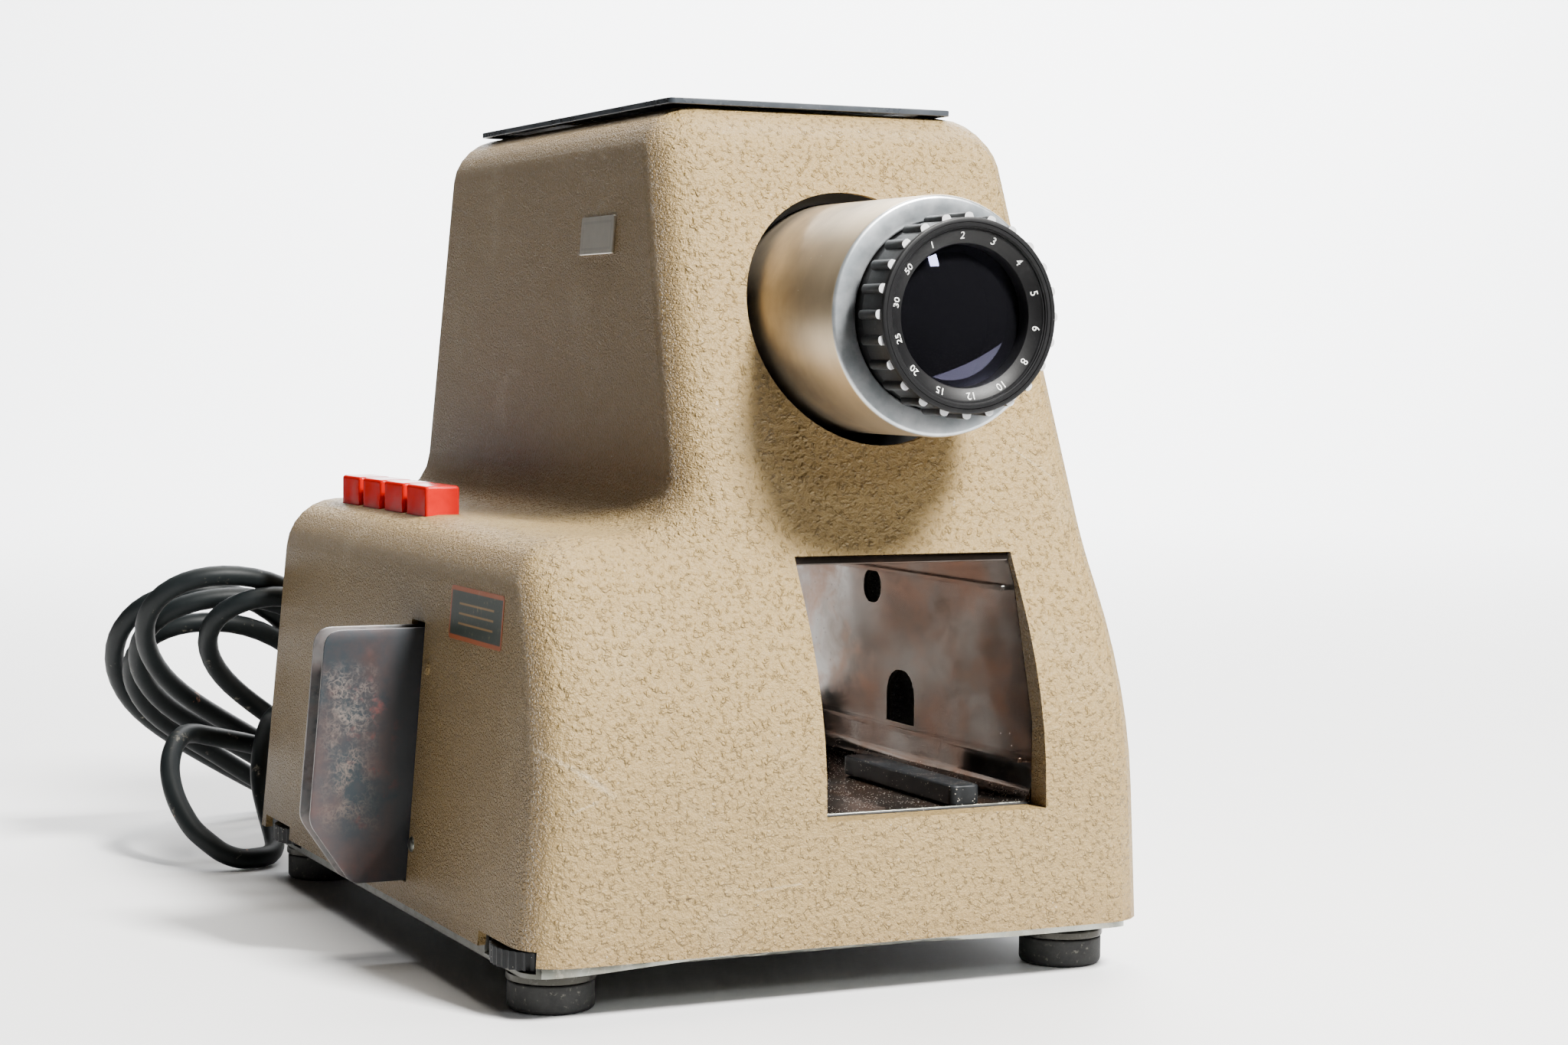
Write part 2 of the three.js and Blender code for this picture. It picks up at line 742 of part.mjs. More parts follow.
// The guide tube holds the cell's thread and lets it move in and out

const guide = { front: 12, rear: 70 };

function buildGuideTube() {
  const outer = lens.sleeveRadius - lens.sleeveWall - gap;
  const inner = lens.cellRadius + gap;
  return ringOf(inner, outer, 'y', lensCentre, [guide.front, guide.rear], 48);
}

const cell = { wall: 2, shoulder: 2, frontDepth: 1.2 };
const ringRear = lens.ringFront + lens.ringLength;

function buildCell() {
  const outer = lens.cellRadius;
  const inner = outer - cell.wall;
  const seat = lens.glassRadius + gap;
  const front_ = lens.ringFront + cell.frontDepth;
  const profile = [
    [inner, front_], [outer - gap, front_], [outer - gap, ringRear + gap], [outer, ringRear + gap],
    [outer, lens.cellRear], [seat, lens.cellRear], [seat, lens.cellRear - cell.shoulder],
    [inner, lens.cellRear - cell.shoulder], [inner, front_],
  ];
  return turned(profile, 'y', lensCentre, 48);
}

// Focus ring: a plain flange in front and hollow grip flutes behind it

const grip = { count: 32, depth: 1.7, flange: 2.4, landShare: 0.24 };

function buildFocusRing() {
  const outer = lens.ringRadius;
  const inner = lens.cellRadius + gap;
  const outline = [];
  const steps = 4;
  const pitch = Math.PI * 2 / grip.count;
  for (let i = 0; i < grip.count; i += 1) {
    const start = i * pitch;
    outline.push([start, outer], [start + pitch * grip.landShare, outer]);
    for (let k = 1; k < steps; k += 1) {
      const share = k / steps;
      const angle = start + pitch * (grip.landShare + (1 - grip.landShare) * share);
      outline.push([angle, outer - grip.depth * Math.sin(Math.PI * share)]);
    }
  }
  const points = outline.map(([angle, r]) => [
    lens.axisX + r * Math.cos(angle), lens.axisZ + r * Math.sin(angle),
  ]);
  const fluted = prism(points, 'y', [lens.ringFront + grip.flange, ringRear]);
  const flange = turned([
    [0, lens.ringFront], [outer - gap * 2, lens.ringFront], [outer, lens.ringFront + gap * 2],
    [outer, lens.ringFront + grip.flange + gap], [0, lens.ringFront + grip.flange + gap],
  ], 'y', lensCentre, 64);
  return cut(join(fluted, flange), disc(inner, 'y', lensCentre, [lens.ringFront - overrun, overrun], 64));
}

// The retaining ring screws into the cell's front and shades the front glass

const bezel = { radius: 23.4, depth: 6, lip: 1 };

function buildRetainingRing() {
  const outer = lens.cellRadius - cell.wall - gap;
  const flangeFront = lens.ringFront + gap;
  const flangeRear = lens.ringFront + cell.frontDepth - gap;
  const mouth = lens.glassRadius + bezel.lip * 2.6;
  const profile = [
    [mouth, flangeFront], [bezel.radius, flangeFront], [bezel.radius, flangeRear], [outer, flangeRear],
    [outer, flangeRear + bezel.depth], [lens.glassRadius - bezel.lip, flangeRear + bezel.depth],
    [lens.glassRadius - bezel.lip, flangeRear + bezel.depth - bezel.lip], [mouth, flangeFront],
  ];
  return turned(profile, 'y', lensCentre, 48);
}

// A lens element of two bulges on a straight edge
function buildGlass(radius, [x, z], y, frontBulge, edge, rearBulge, sides = 32) {
  const profile = [];
  const steps = 3;
  for (let k = 0; k <= steps; k += 1) {
    const share = k / steps;
    profile.push([radius * share, y - frontBulge * (1 - share * share)]);
  }
  for (let k = steps; k >= 0; k -= 1) {
    const share = k / steps;
    profile.push([radius * share, y + edge + rearBulge * (1 - share * share)]);
  }
  return turned(profile, 'y', [x, 0, z], sides);
}

const glass = {
  frontY: -6.4,
  frontBulge: 3.6,
  frontEdge: 4,
  middleY: 22,
  middleEdge: 5,
  middleBulge: -1.6,
  rearY: 50,
  rearEdge: 5,
  rearBulge: 3.2,
};
const cellBore = lens.cellRadius - cell.wall - gap;

// Gate, heat glass and condenser

const gate = { sheet: 1.4, aperture: 36, halfWidth: 32, margin: 13.6, flange: 9, railWidth: 4 };
const gateTop = lens.axisZ + gate.aperture / 2 + gate.margin;

function buildGateFrame() {
  const y1 = tunnelSlot.y + gap;
  const y0 = y1 - gate.sheet;
  const bottom = benchTop + gap;
  const outline = rectangle([lens.axisX - gate.halfWidth, lens.axisX + gate.halfWidth], [bottom, gateTop]);
  const aperture = rounded(rectangle(
    [lens.axisX - gate.aperture / 2, lens.axisX + gate.aperture / 2],
    [lens.axisZ - gate.aperture / 2, lens.axisZ + gate.aperture / 2],
  ), gate.sheet, 3);
  const plate = prism(outline, 'y', [y0, y1], [aperture]);
  const flange = block(
    [lens.axisX - gate.halfWidth, lens.axisX + gate.halfWidth], [y0 - gate.flange, y1],
    [bottom, bottom + gate.sheet],
  );
  const half = slide.frame / 2 + gap * 2;
  const rails = [-1, 1].map((side) => block(
    [lens.axisX + side * half, lens.axisX + side * (half + gate.railWidth)].sort((a, b) => a - b),
    [y1 - gate.sheet / 2, tunnelSlot.y + tunnelSlot.thickness - gap * 2],
    [bottom, gateTop],
  ));
  return join(plate, flange, ...rails);
}

function buildPressurePlate() {
  const y0 = tunnelSlot.y + tunnelSlot.thickness;
  const bottom = benchTop + gap;
  const outline = rectangle([lens.axisX - gate.halfWidth, lens.axisX + gate.halfWidth], [bottom, gateTop]);
  const aperture = rounded(rectangle(
    [lens.axisX - gate.aperture / 2, lens.axisX + gate.aperture / 2],
    [lens.axisZ - gate.aperture / 2, lens.axisZ + gate.aperture / 2],
  ), gate.sheet, 3);
  const plate = prism(outline, 'y', [y0, y0 + gate.sheet], [aperture]);
  const flange = block(
    [lens.axisX - gate.halfWidth, lens.axisX + gate.halfWidth], [y0, y0 + gate.flange],
    [bottom, bottom + gate.sheet],
  );
  return join(plate, flange);
}

const condenser = { front: 101, length: 34, radius: 25, wall: 1.6, stand: 22, base: 3 };

function buildCondenserBarrel() {
  const y1 = condenser.front + condenser.length;
  const bore = condenser.radius + gap;
  const outer = bore + condenser.wall;
  const bottom = benchTop + gap;
  const stand = block(
    [lens.axisX - condenser.stand, lens.axisX + condenser.stand], [condenser.front, y1],
    [bottom, lens.axisZ - condenser.radius],
  );
  const barrel = disc(outer, 'y', lensCentre, [condenser.front, y1], 48);
  const hollow = disc(bore, 'y', lensCentre, [condenser.front - overrun, y1 + overrun], 48);
  const under = block(
    [lens.axisX - condenser.stand + condenser.wall, lens.axisX + condenser.stand - condenser.wall],
    [condenser.front - overrun, y1 + overrun],
    [bottom + condenser.base, lens.axisZ - condenser.radius - condenser.wall * 2],
  );
  return cut(join(stand, barrel), hollow, under);
}

const optics = { frontLensY: 104, heatGlassY: 116, rearLensY: 126, edge: 3, bulge: 6, heatGlass: 2.5 };

// Lamp, its socket, the mirror and the lamp house

const lamp = { y: 158, bulbRadius: 14, neckRadius: 9, bulbTop: 198, neckBottom: 146, socketRadius: 12 };

function buildBulb() {
  const centre = [lens.axisX, lamp.y, 0];
  const shoulder = lens.axisZ - lamp.bulbRadius;
  const crown = lamp.bulbTop - lamp.bulbRadius / 2;
  const profile = [
    [0, lamp.neckBottom], [lamp.neckRadius, lamp.neckBottom],
    [lamp.neckRadius, shoulder - lamp.bulbRadius / 3],
    [lamp.bulbRadius, shoulder + lamp.bulbRadius / 3], [lamp.bulbRadius, crown],
    [lamp.bulbRadius * Math.SQRT1_2, crown + lamp.bulbRadius * Math.SQRT1_2 / 2], [0, lamp.bulbTop],
  ];
  return turned(profile, 'z', centre, 20);
}

function buildSocket() {
  const bottom = benchTop + gap;
  const top = lamp.neckBottom + lamp.neckRadius / 2;
  const well = lamp.neckBottom - gap;
  const bore = lamp.neckRadius + gap;
  const profile = [
    [0, bottom], [lamp.socketRadius * 1.5, bottom],
    [lamp.socketRadius * 1.5, bottom + lamp.socketRadius / 4],
    [lamp.socketRadius, bottom + lamp.socketRadius / 4], [lamp.socketRadius, top], [bore, top], [bore, well],
    [0, well],
  ];
  return turned(profile, 'z', [lens.axisX, lamp.y, 0], 20);
}

const mirror = { y: 178, radius: 26, depth: 9, sheet: 1, stem: 8 };

function buildMirror() {
  const steps = 4;
  const bowl = (radius, shift) => Array.from({ length: steps + 1 }, (unused, k) => {
    const share = k / steps;
    return [radius * share, mirror.y + shift + mirror.depth * (1 - share * share)];
  });
  const profile = [...bowl(mirror.radius, 0), ...bowl(mirror.radius, mirror.sheet).reverse()];
  const dish = turned(profile, 'y', lensCentre, 28);
  const bottom = benchTop + gap;
  const strap = block(
    [lens.axisX - mirror.stem / 2, lens.axisX + mirror.stem / 2],
    [mirror.y + mirror.depth, mirror.y + mirror.depth + mirror.sheet],
    [bottom, lens.axisZ],
  );
  const base = block(
    [lens.axisX - mirror.stem, lens.axisX + mirror.stem],
    [mirror.y + mirror.depth, mirror.y + mirror.depth + mirror.stem],
    [bottom, bottom + mirror.sheet],
  );
  const roomSpan = [mirror.y - mirror.depth, mirror.y + mirror.depth / 2];
  const room = disc(mirror.radius * 2, 'y', lensCentre, roomSpan, 24);
  return join(dish, cut(strap, room), base);
}

const lampHouse = {
  halfWidth: 36, front: 138.5, rear: 196, top: 226, sheet: 1, ventCount: 5, ventHeight: 4,
};

function buildLampHouse() {
  const bottom = benchTop + gap;
  const [x0, x1] = [lens.axisX - lampHouse.halfWidth, lens.axisX + lampHouse.halfWidth];
  const t = lampHouse.sheet;
  const outer = block([x0, x1], [lampHouse.front, lampHouse.rear], [bottom, lampHouse.top]);
  const inner = block(
    [x0 + t, x1 - t],
    [lampHouse.front + t, lampHouse.rear - t],
    [bottom - overrun, lampHouse.top + overrun],
  );
  const beamSpan = [lampHouse.front - overrun, lampHouse.front + overrun];
  const beam = disc(condenser.radius + gap, 'y', lensCentre, beamSpan, 32);
  const airSpan = [lampHouse.rear - overrun / 2, lampHouse.rear + overrun];
  const airWay = disc(fan.ringRadius, 'y', lensCentre, airSpan, 32);
  const ventSpan = [lamp.y - overrun / 2, lamp.y + overrun / 2];
  const pitch = lampHouse.ventHeight * 2;
  const vents = Array.from({ length: lampHouse.ventCount }, (unused, i) => {
    const z = lens.axisZ + lampHouse.ventHeight + i * pitch;
    return block([x0 - overrun, x1 + overrun], ventSpan, [z, z + lampHouse.ventHeight]);
  });
  return cut(outer, inner, beam, airWay, ...vents);
}

// Blower behind the lamp house

const fan = {
  ringRadius: 30, hubRadius: 8, bladeCount: 7, bladeTip: 27, y: 200, depth: 9, sheet: 1, shaftRadius: 1.6,
  motorRadius: 17, motorLength: 16, bracket: 3,
};
const motorFront = fan.y + fan.depth + fan.sheet * 2;

function buildImpeller() {
  const hub = disc(fan.hubRadius, 'y', lensCentre, [fan.y, fan.y + fan.depth], 24);
  const blades = Array.from({ length: fan.bladeCount }, (unused, i) => {
    const blade = new THREE.BoxGeometry(fan.bladeTip - fan.hubRadius / 2, fan.sheet, fan.depth);
    blade.rotateX(Math.PI / 4);
    blade.translate((fan.bladeTip + fan.hubRadius / 2) / 2, 0, 0);
    blade.rotateY(Math.PI * 2 * i / fan.bladeCount);
    blade.translate(lens.axisX, fan.y + fan.depth / 2, lens.axisZ);
    return toSolid(blade);
  });
  const bore = disc(fan.shaftRadius + gap, 'y', lensCentre, [fan.y + fan.sheet * 2, fan.y + overrun], 16);
  return cut(join(hub, ...blades), bore);
}

function buildShaft() {
  const span = [fan.y + fan.sheet * 2 + gap, motorFront + fan.sheet * 3];
  return disc(fan.shaftRadius, 'y', lensCentre, span, 16);
}

function buildMotor() {
  const back = motorFront + fan.motorLength;
  const can = disc(fan.motorRadius, 'y', lensCentre, [motorFront, back], 36);
  const wellSpan = [motorFront - overrun, motorFront + fan.sheet * 4];
  const well = disc(fan.shaftRadius + gap, 'y', lensCentre, wellSpan, 16);
  const bottom = benchTop + gap;
  const post = block(
    [lens.axisX - fan.motorRadius / 2, lens.axisX + fan.motorRadius / 2],
    [motorFront + fan.sheet, motorFront + fan.sheet + fan.bracket],
    [bottom, lens.axisZ],
  );
  const base = block(
    [lens.axisX - fan.motorRadius, lens.axisX + fan.motorRadius],
    [motorFront + fan.sheet, bench.rear - fan.sheet],
    [bottom, bottom + fan.bracket / 2],
  );
  return cut(join(can, post, base), well);
}

// Transformer on the base pan, below the push buttons

const transformer = {
  left: 16, front: 138, width: 40, length: 66, height: 52, yoke: 9, window: 12, coilMargin: 7, foot: 2,
};

function transformerBox() {
  const bottom = pan.bottom + pan.sheet + gap;
  return {
    x: [transformer.left, transformer.left + transformer.width],
    y: [transformer.front, transformer.front + transformer.length],
    z: [bottom, bottom + transformer.height],
  };
}

function buildCore() {
  const { x, y, z } = transformerBox();
  const limb = transformer.yoke * 2;
  const middle = (y[0] + y[1]) / 2;
  const windows = [
    [y[0] + transformer.yoke, middle - limb / 2], [middle + limb / 2, y[1] - transformer.yoke],
  ];
  const outline = rectangle(y, z);
  const holes = windows.map((span) => rectangle(span, [z[0] + transformer.yoke, z[1] - transformer.yoke]));
  const stack = prism(outline, 'x', [x[0] + transformer.coilMargin, x[1] - transformer.coilMargin], holes);
  const feet = block([x[0], x[1]], [y[0], y[1]], [z[0], z[0] + transformer.foot]);
  return join(stack, feet);
}

function buildCoil() {
  const { x, y, z } = transformerBox();
  const limb = transformer.yoke * 2;
  const middle = (y[0] + y[1]) / 2;
  const reach = middle - y[0] - transformer.yoke - gap;
  const zSpan = [z[0] + transformer.yoke + gap, z[1] - transformer.yoke - gap];
  const outer = prism(
    rounded(rectangle([x[0] + gap, x[1] - gap], [middle - reach, middle + reach]), transformer.foot, 3),
    'z', zSpan,
  );
  const core = block(
    [x[0] + transformer.coilMargin - gap, x[1] - transformer.coilMargin + gap],
    [middle - limb / 2 - gap, middle + limb / 2 + gap],
    [zSpan[0] - overrun, zSpan[1] + overrun],
  );
  return cut(outer, core);
}

// Push buttons in their switch bank, which hangs from the step's top

const bank = {
  wall: 2, drop: 2.2, depth: 18, base: 3, stemWidth: 5, stemLength: 9, flange: 1.6, flangeReach: 5,
};
const bankTop = casing.stepTop - casing.wall - bank.drop;
const bankBottom = bankTop - bank.depth;

function buildBank() {
  const first = buttonPlace(0);
  const last = buttonPlace(buttons.count - 1);
  const spanX = [first.x[0] - bank.wall, first.x[1] + bank.wall];
  const spanY = [first.y[0] - bank.wall, last.y[1] + bank.wall];
  const body = block(spanX, spanY, [bankBottom, bankTop]);
  const flange = block(
    [spanX[0], spanX[1]],
    [spanY[0] - bank.flangeReach, spanY[1] + bank.flangeReach],
    [bankTop - bank.flange, bankTop],
  );
  const wells = Array.from({ length: buttons.count }, (unused, i) => {
    const { x, y } = buttonPlace(i);
    const span = [bankBottom + bank.base, bankTop + overrun];
    return block([x[0] - gap, x[1] + gap], [y[0] - gap, y[1] + gap], span);
  });
  return cut(join(body, flange), ...wells);
}

function buildButton(i) {
  const { x, y } = buttonPlace(i);
  const top = casing.stepTop + buttons.height;
  const headBottom = bankBottom + bank.base + bank.stemLength;
  const bevel = buttons.width / 10;
  const middleX = (x[0] + x[1]) / 2;
  const middleY = (y[0] + y[1]) / 2;
  const head = prism(rounded([
    [x[0], headBottom], [x[1], headBottom], [x[1], top], [x[0], top],
  ], [0, 0, bevel, bevel], 3), 'y', y);
  const stem = block(
    [middleX - bank.stemWidth / 2, middleX + bank.stemWidth / 2],
    [middleY - bank.stemWidth / 2, middleY + bank.stemWidth / 2],
    [bankBottom + bank.base + buttons.travel + gap, headBottom + gap],
  );
  return join(head, stem);
}

// Slide changer: a folded sheet box that slides through the slot in the left wall

const changerInner = { reach: 45, cornerRadius: 5, chamferX: 13, chamferZ: 17, lean: 0.085 };

function changerOutline(inset, end) {
  const leftAt = (z) => casing.leftDraft * (changer.top - casing.bottom) - changer.reach
    - changerInner.lean * (changer.top - z) + inset;
  const low = changer.bottom + inset;
  const high = changer.top - inset;
  const radius = changerInner.cornerRadius;
  const chamferTop = changer.bottom + changerInner.chamferZ + inset;
  return rounded([
    [end, low], [end, high], [leftAt(high), high],
    [leftAt(chamferTop), chamferTop], [leftAt(low) + changerInner.chamferX, low],
  ], [0, 0, radius - inset, radius / 2, radius / 2], 4);
}

function buildChanger() {
  const y0 = changer.front;
  const y1 = changer.front + changer.thickness;
  const skin = prism(changerOutline(0, changerInner.reach), 'y', [y0, y1]);
  const hollow = prism(
    changerOutline(changer.sheet, changerInner.reach + overrun),
    'y',
    [y0 + changer.sheet, y1 - changer.sheet],
  );
  return cut(skin, hollow);
}

const runner = { sheet: 1.2, flange: 8, reach: 40, bottom: changer.bottom - gap - 1.2, top: 84 };

// The runner is riveted inside the left wall and guides the changer
function buildRunner() {
  const wallX = (z) => casing.leftDraft * (z - casing.bottom) + casing.wall * 1.01 + gap;
  const leanSheet = [
    [wallX(runner.bottom), runner.bottom], [wallX(runner.bottom) + runner.sheet, runner.bottom],
    [wallX(runner.top) + runner.sheet, runner.top], [wallX(runner.top), runner.top],
  ];
  const cheek = [
    [wallX(runner.bottom), runner.bottom], [runner.reach, runner.bottom], [runner.reach, runner.top],
    [wallX(runner.top), runner.top],
  ];
  const inFront = changer.front - gap;
  const behind = changer.front + changer.thickness + gap;
  const flanges = [
    prism(leanSheet, 'y', [inFront - runner.flange, inFront]),
    prism(leanSheet, 'y', [behind, behind + runner.flange]),
  ];
  const cheeks = [
    prism(cheek, 'y', [inFront - runner.sheet, inFront]),
    prism(cheek, 'y', [behind, behind + runner.sheet]),
  ];
  const floor = block(
    [wallX(runner.bottom + runner.sheet), runner.reach],
    [inFront - runner.sheet, behind + runner.sheet],
    [runner.bottom, runner.bottom + runner.sheet],
  );
  return join(...flanges, ...cheeks, floor);
}

// Top lid: a thin folded sheet that lifts off

function buildLid() {
  const bottom = casing.top + gap;
  const outline = (inset) => rounded(
    rectangle([lid.left + inset, lid.right - inset], [lid.front + inset, lid.rear - inset]),
    lid.cornerRadius - inset,
    3,
  );
  return cut(
    prism(outline(0), 'z', [bottom, bottom + lid.height]),
    prism(outline(lid.sheet), 'z', [bottom - overrun, bottom + lid.height - lid.sheet]),
  );
}

// Mains lead

const lead = {
  diameter: 6.4,
  sides: 10,
  stepLength: 7,
  coilSides: 6,
  stepsPerLoop: 24,
  pitch: 7.2,
  leanAngle: 42,
  topY: 240.5,
  topZ: 95,
  turnShares: [-0.76, 4.4],
  sag: 13,
  sagStart: 2,
  sagEnd: 70,
  spreadShare: 0.4,
  easeShare: 0.1,
};

// The coil's loops are ovals that lean on the casing's back, each with its own size, place and tilt
const loops = [
  { length: 47, width: 26, x: 8, up: -56, tilt: 16 },
  { length: 50, width: 27, x: 32, up: -46, tilt: 32 },
  { length: 45, width: 28, x: 7, up: -39, tilt: 42 },
  { length: 49, width: 31, x: 15, up: -51, tilt: 33 },
  { length: 46, width: 27, x: 12, up: -62, tilt: 38 },
  { length: 50, width: 32, x: 8, up: -56, tilt: 50 },
  { length: 52, width: 26, x: 16, up: -54, tilt: 38 },
];

const strain = { flange: 9, flangeThickness: 2, barrel: 5.8, neck: 4.2, length: 20 };
const reliefFace = rearFace(rear.leadZ - strain.flange) + gap;
const reliefEnd = reliefFace + strain.flangeThickness + strain.length;

function buildStrainRelief() {
  const inside = reliefFace - rear.sheet * 3;
  const profile = [
    [0, inside], [strain.barrel, inside], [strain.barrel, reliefFace], [strain.flange, reliefFace],
    [strain.flange, reliefFace + strain.flangeThickness],
    [strain.barrel, reliefFace + strain.flangeThickness], [strain.neck, reliefEnd], [0, reliefEnd],
  ];
  return turned(profile, 'y', [rear.leadX, 0, rear.leadZ], 20);
}

// A loop's form at a number of turns, easing into the next loop's on the side behind the casing
function loopAt(turns) {
  const whole = Math.floor(turns + 1);
  const share = THREE.MathUtils.smoothstep(turns + 1 - whole, lead.easeShare, 1 - lead.easeShare);
  const [from, to] = [loops[whole], loops[whole + 1]];
  const mix = (key) => THREE.MathUtils.lerp(from[key], to[key], share);
  return { length: mix('length'), width: mix('width'), x: mix('x'), up: mix('up'), tilt: mix('tilt') };
}

// The coil's line starts at a loop's left end and runs down, right and up; the right ends sag
function coilPoint(turns) {
  const angle = Math.PI + Math.PI * 2 * turns;
  const { length, width, x, up, tilt } = loopAt(turns);
  const turn = THREE.MathUtils.degToRad(tilt);
  const lean = THREE.MathUtils.degToRad(lead.leanAngle);
  const grown = 1 + lead.spreadShare * Math.max(Math.cos(angle), 0) ** 2;
  const [m, n] = [grown * length * Math.cos(angle), grown * width * Math.sin(angle)];
  const across = x + m * Math.cos(turn) + n * Math.sin(turn);
  const along = up - m * Math.sin(turn) + n * Math.cos(turn);
  const sag = lead.sag * THREE.MathUtils.smoothstep(across, lead.sagStart, lead.sagEnd);
  return new THREE.Vector3(
    across,
    lead.topY + turns * lead.pitch / Math.cos(lean) - along * Math.sin(lean),
    lead.topZ + along * Math.cos(lean) - sag,
  );
}

const [firstTurn, lastTurn] = lead.turnShares;
const coilSteps = Math.round((lastTurn - firstTurn) * lead.stepsPerLoop);
const coilCurve = Array.from({ length: coilSteps + 1 }, (unused, i) => (
  coilPoint(THREE.MathUtils.lerp(firstTurn, lastTurn, i / coilSteps))
));
const startWay = coilCurve[0].clone().sub(coilCurve[1]).normalize();
const endWay = coilCurve[coilSteps].clone().sub(coilCurve[coilSteps - 1]).normalize();
const coilLine = [
  coilCurve[0].clone().addScaledVector(startWay, lead.diameter),
  ...coilCurve,
  coilCurve[coilSteps].clone().addScaledVector(endWay, lead.diameter),
];

// The least distance between parts of the coil that aren't next to each other along it
function leastCoilGap() {
  let least = Infinity;
  const apart = lead.stepsPerLoop / 2;
  coilLine.forEach((p, i) => {
    for (let j = i + apart; j < coilLine.length; j += 1) least = Math.min(least, p.distanceTo(coilLine[j]));
  });
  return least - lead.diameter;
}

const lineLength = (line) => line.slice(1).reduce((sum, p, i) => sum + p.distanceTo(line[i]), 0);

// A tube of flat rings along points, closed at both ends
function tubeAlong(points, radius, sides) {
  const positions = [];
  const index = [];
  let across = null;
  points.forEach((point, i) => {
    const ahead = points[Math.min(i + 1, points.length - 1)];
    const behind = points[Math.max(i - 1, 0)];
    const tangent = ahead.clone().sub(behind).normalize();
    if (!across) across = new THREE.Vector3(0, 0, 1).cross(tangent).normalize();
    across.addScaledVector(tangent, -across.dot(tangent)).normalize();
    const side = tangent.clone().cross(across);
    for (let k = 0; k < sides; k += 1) {
      const angle = Math.PI * 2 * k / sides;
      const spoke = across.clone().multiplyScalar(radius * Math.cos(angle));
      const p = spoke.addScaledVector(side, radius * Math.sin(angle)).add(point);
      positions.push(p.x, p.y, p.z);
    }
  });
  for (let i = 0; i < points.length - 1; i += 1) {
    for (let k = 0; k < sides; k += 1) {
      const [a, b] = [i * sides + k, i * sides + (k + 1) % sides];
      index.push(a, b, a + sides, b, b + sides, a + sides);
    }
  }
  const last = (points.length - 1) * sides;
  for (let k = 1; k < sides - 1; k += 1) {
    index.push(0, k + 1, k);
    index.push(last, last + k, last + k + 1);
  }
  const geometry = new THREE.BufferGeometry();
  geometry.setAttribute('position', new THREE.Float32BufferAttribute(positions, 3));
  geometry.setIndex(index);
  return toSolid(geometry);
}

// A round tube pushed along a smooth curve through points
function tubeThrough(points) {
  const curve = new THREE.CatmullRomCurve3(points.map((p) => new THREE.Vector3(...p)));
  const circle = new THREE.Shape(Array.from({ length: lead.sides }, (unused, k) => {
    const angle = Math.PI * 2 * k / lead.sides;
    return new THREE.Vector2(Math.cos(angle), Math.sin(angle)).multiplyScalar(lead.diameter / 2);
  }));
  const steps = Math.ceil(curve.getLength() / lead.stepLength);
  console.log('length of a free stretch, mm:', curve.getLength().toFixed(0));
  return toSolid(new THREE.ExtrudeGeometry(circle, { steps, extrudePath: curve }));
}

// From the strain relief down to the table, past the casing's corner and up into the coil
const leadPoints = [
  [14, 265, 46], [13.9, 270, 46], [13.2, 275, 44.6], [12, 278.5, 41], [10.8, 279.8, 36], [9.8, 279.5, 31],
  [9, 277.8, 25.5], [8.7, 274.8, 20.4], [8.8, 270.5, 15.6], [8.8, 265, 11], [8.4, 259, 7.4],
  [7.1, 253.2, 4.9], [3.8, 247.8, 3.5], [-1.1, 244.4, 3.4], [-6.6, 243.4, 3.7], [-11.6, 244.6, 5.5],
  [-15.8, 247.2, 8.8], [-19.7, 250.2, 12.7], [-22, 254, 17.1], [-23.4, 258, 21.5], [-23.9, 262, 25.9],
  [-23.4, 266.5, 30.2], [-21.6, 271.5, 34.2], [-18.8, 276.5, 37.3], [-15.2, 281, 38.9], [-11, 283.8, 38.8],
  [-7, 284.8, 37.8],
];

// From the coil along the table to the plug
const tailPoints = [
  [36.1, 357.4, 6.3], [41.7, 358.9, 4.1], [49, 359, 3.4], [58, 357, 3.4], [70, 352.4, 3.4], [80, 347.4, 4.2],
  [89, 342.1, 6.8], [97.5, 336.7, 10.4], [105, 331.9, 12.7], [111.9, 327.3, 13],
];

// The plug lies on the table and points along its two pins
const plug = {
  x: 112.2,
  y: 327.1,
  turn: -33.7,
  neckRadius: 4.6,
  neckLength: 12,
  collarRadius: 8,
  bodyRadius: 13,
  bodyLength: 30,
  faceRadius: 12,
  pinRadius: 2.4,
  pinLength: 19,
  pinSpacing: 19,
};

function buildPlug() {
  const bodyStart = plug.neckLength + plug.bodyRadius - plug.collarRadius;
  const face = bodyStart + plug.bodyLength;
  const bevel = plug.bodyRadius - plug.faceRadius;
  const profile = [
    [0, 0], [plug.neckRadius, 0], [plug.collarRadius, plug.neckLength], [plug.bodyRadius, bodyStart],
    [plug.bodyRadius, face - bevel], [plug.faceRadius, face], [0, face],
  ];
  const pins = [-1, 1].map((side) => disc(
    plug.pinRadius, 'x', [0, side * plug.pinSpacing / 2, 0], [face - bevel, face + plug.pinLength], 12,
  ));
  const form = join(turned(profile, 'x', [0, 0, 0], 28), ...pins);
  return form.rotate([0, 0, plug.turn]).translate([plug.x, plug.y, plug.bodyRadius]);
}

const solids = [];
const material = (color, roughness, metalness, extra = {}) => (
  new THREE.MeshStandardMaterial({ color, roughness, metalness, ...extra })
);

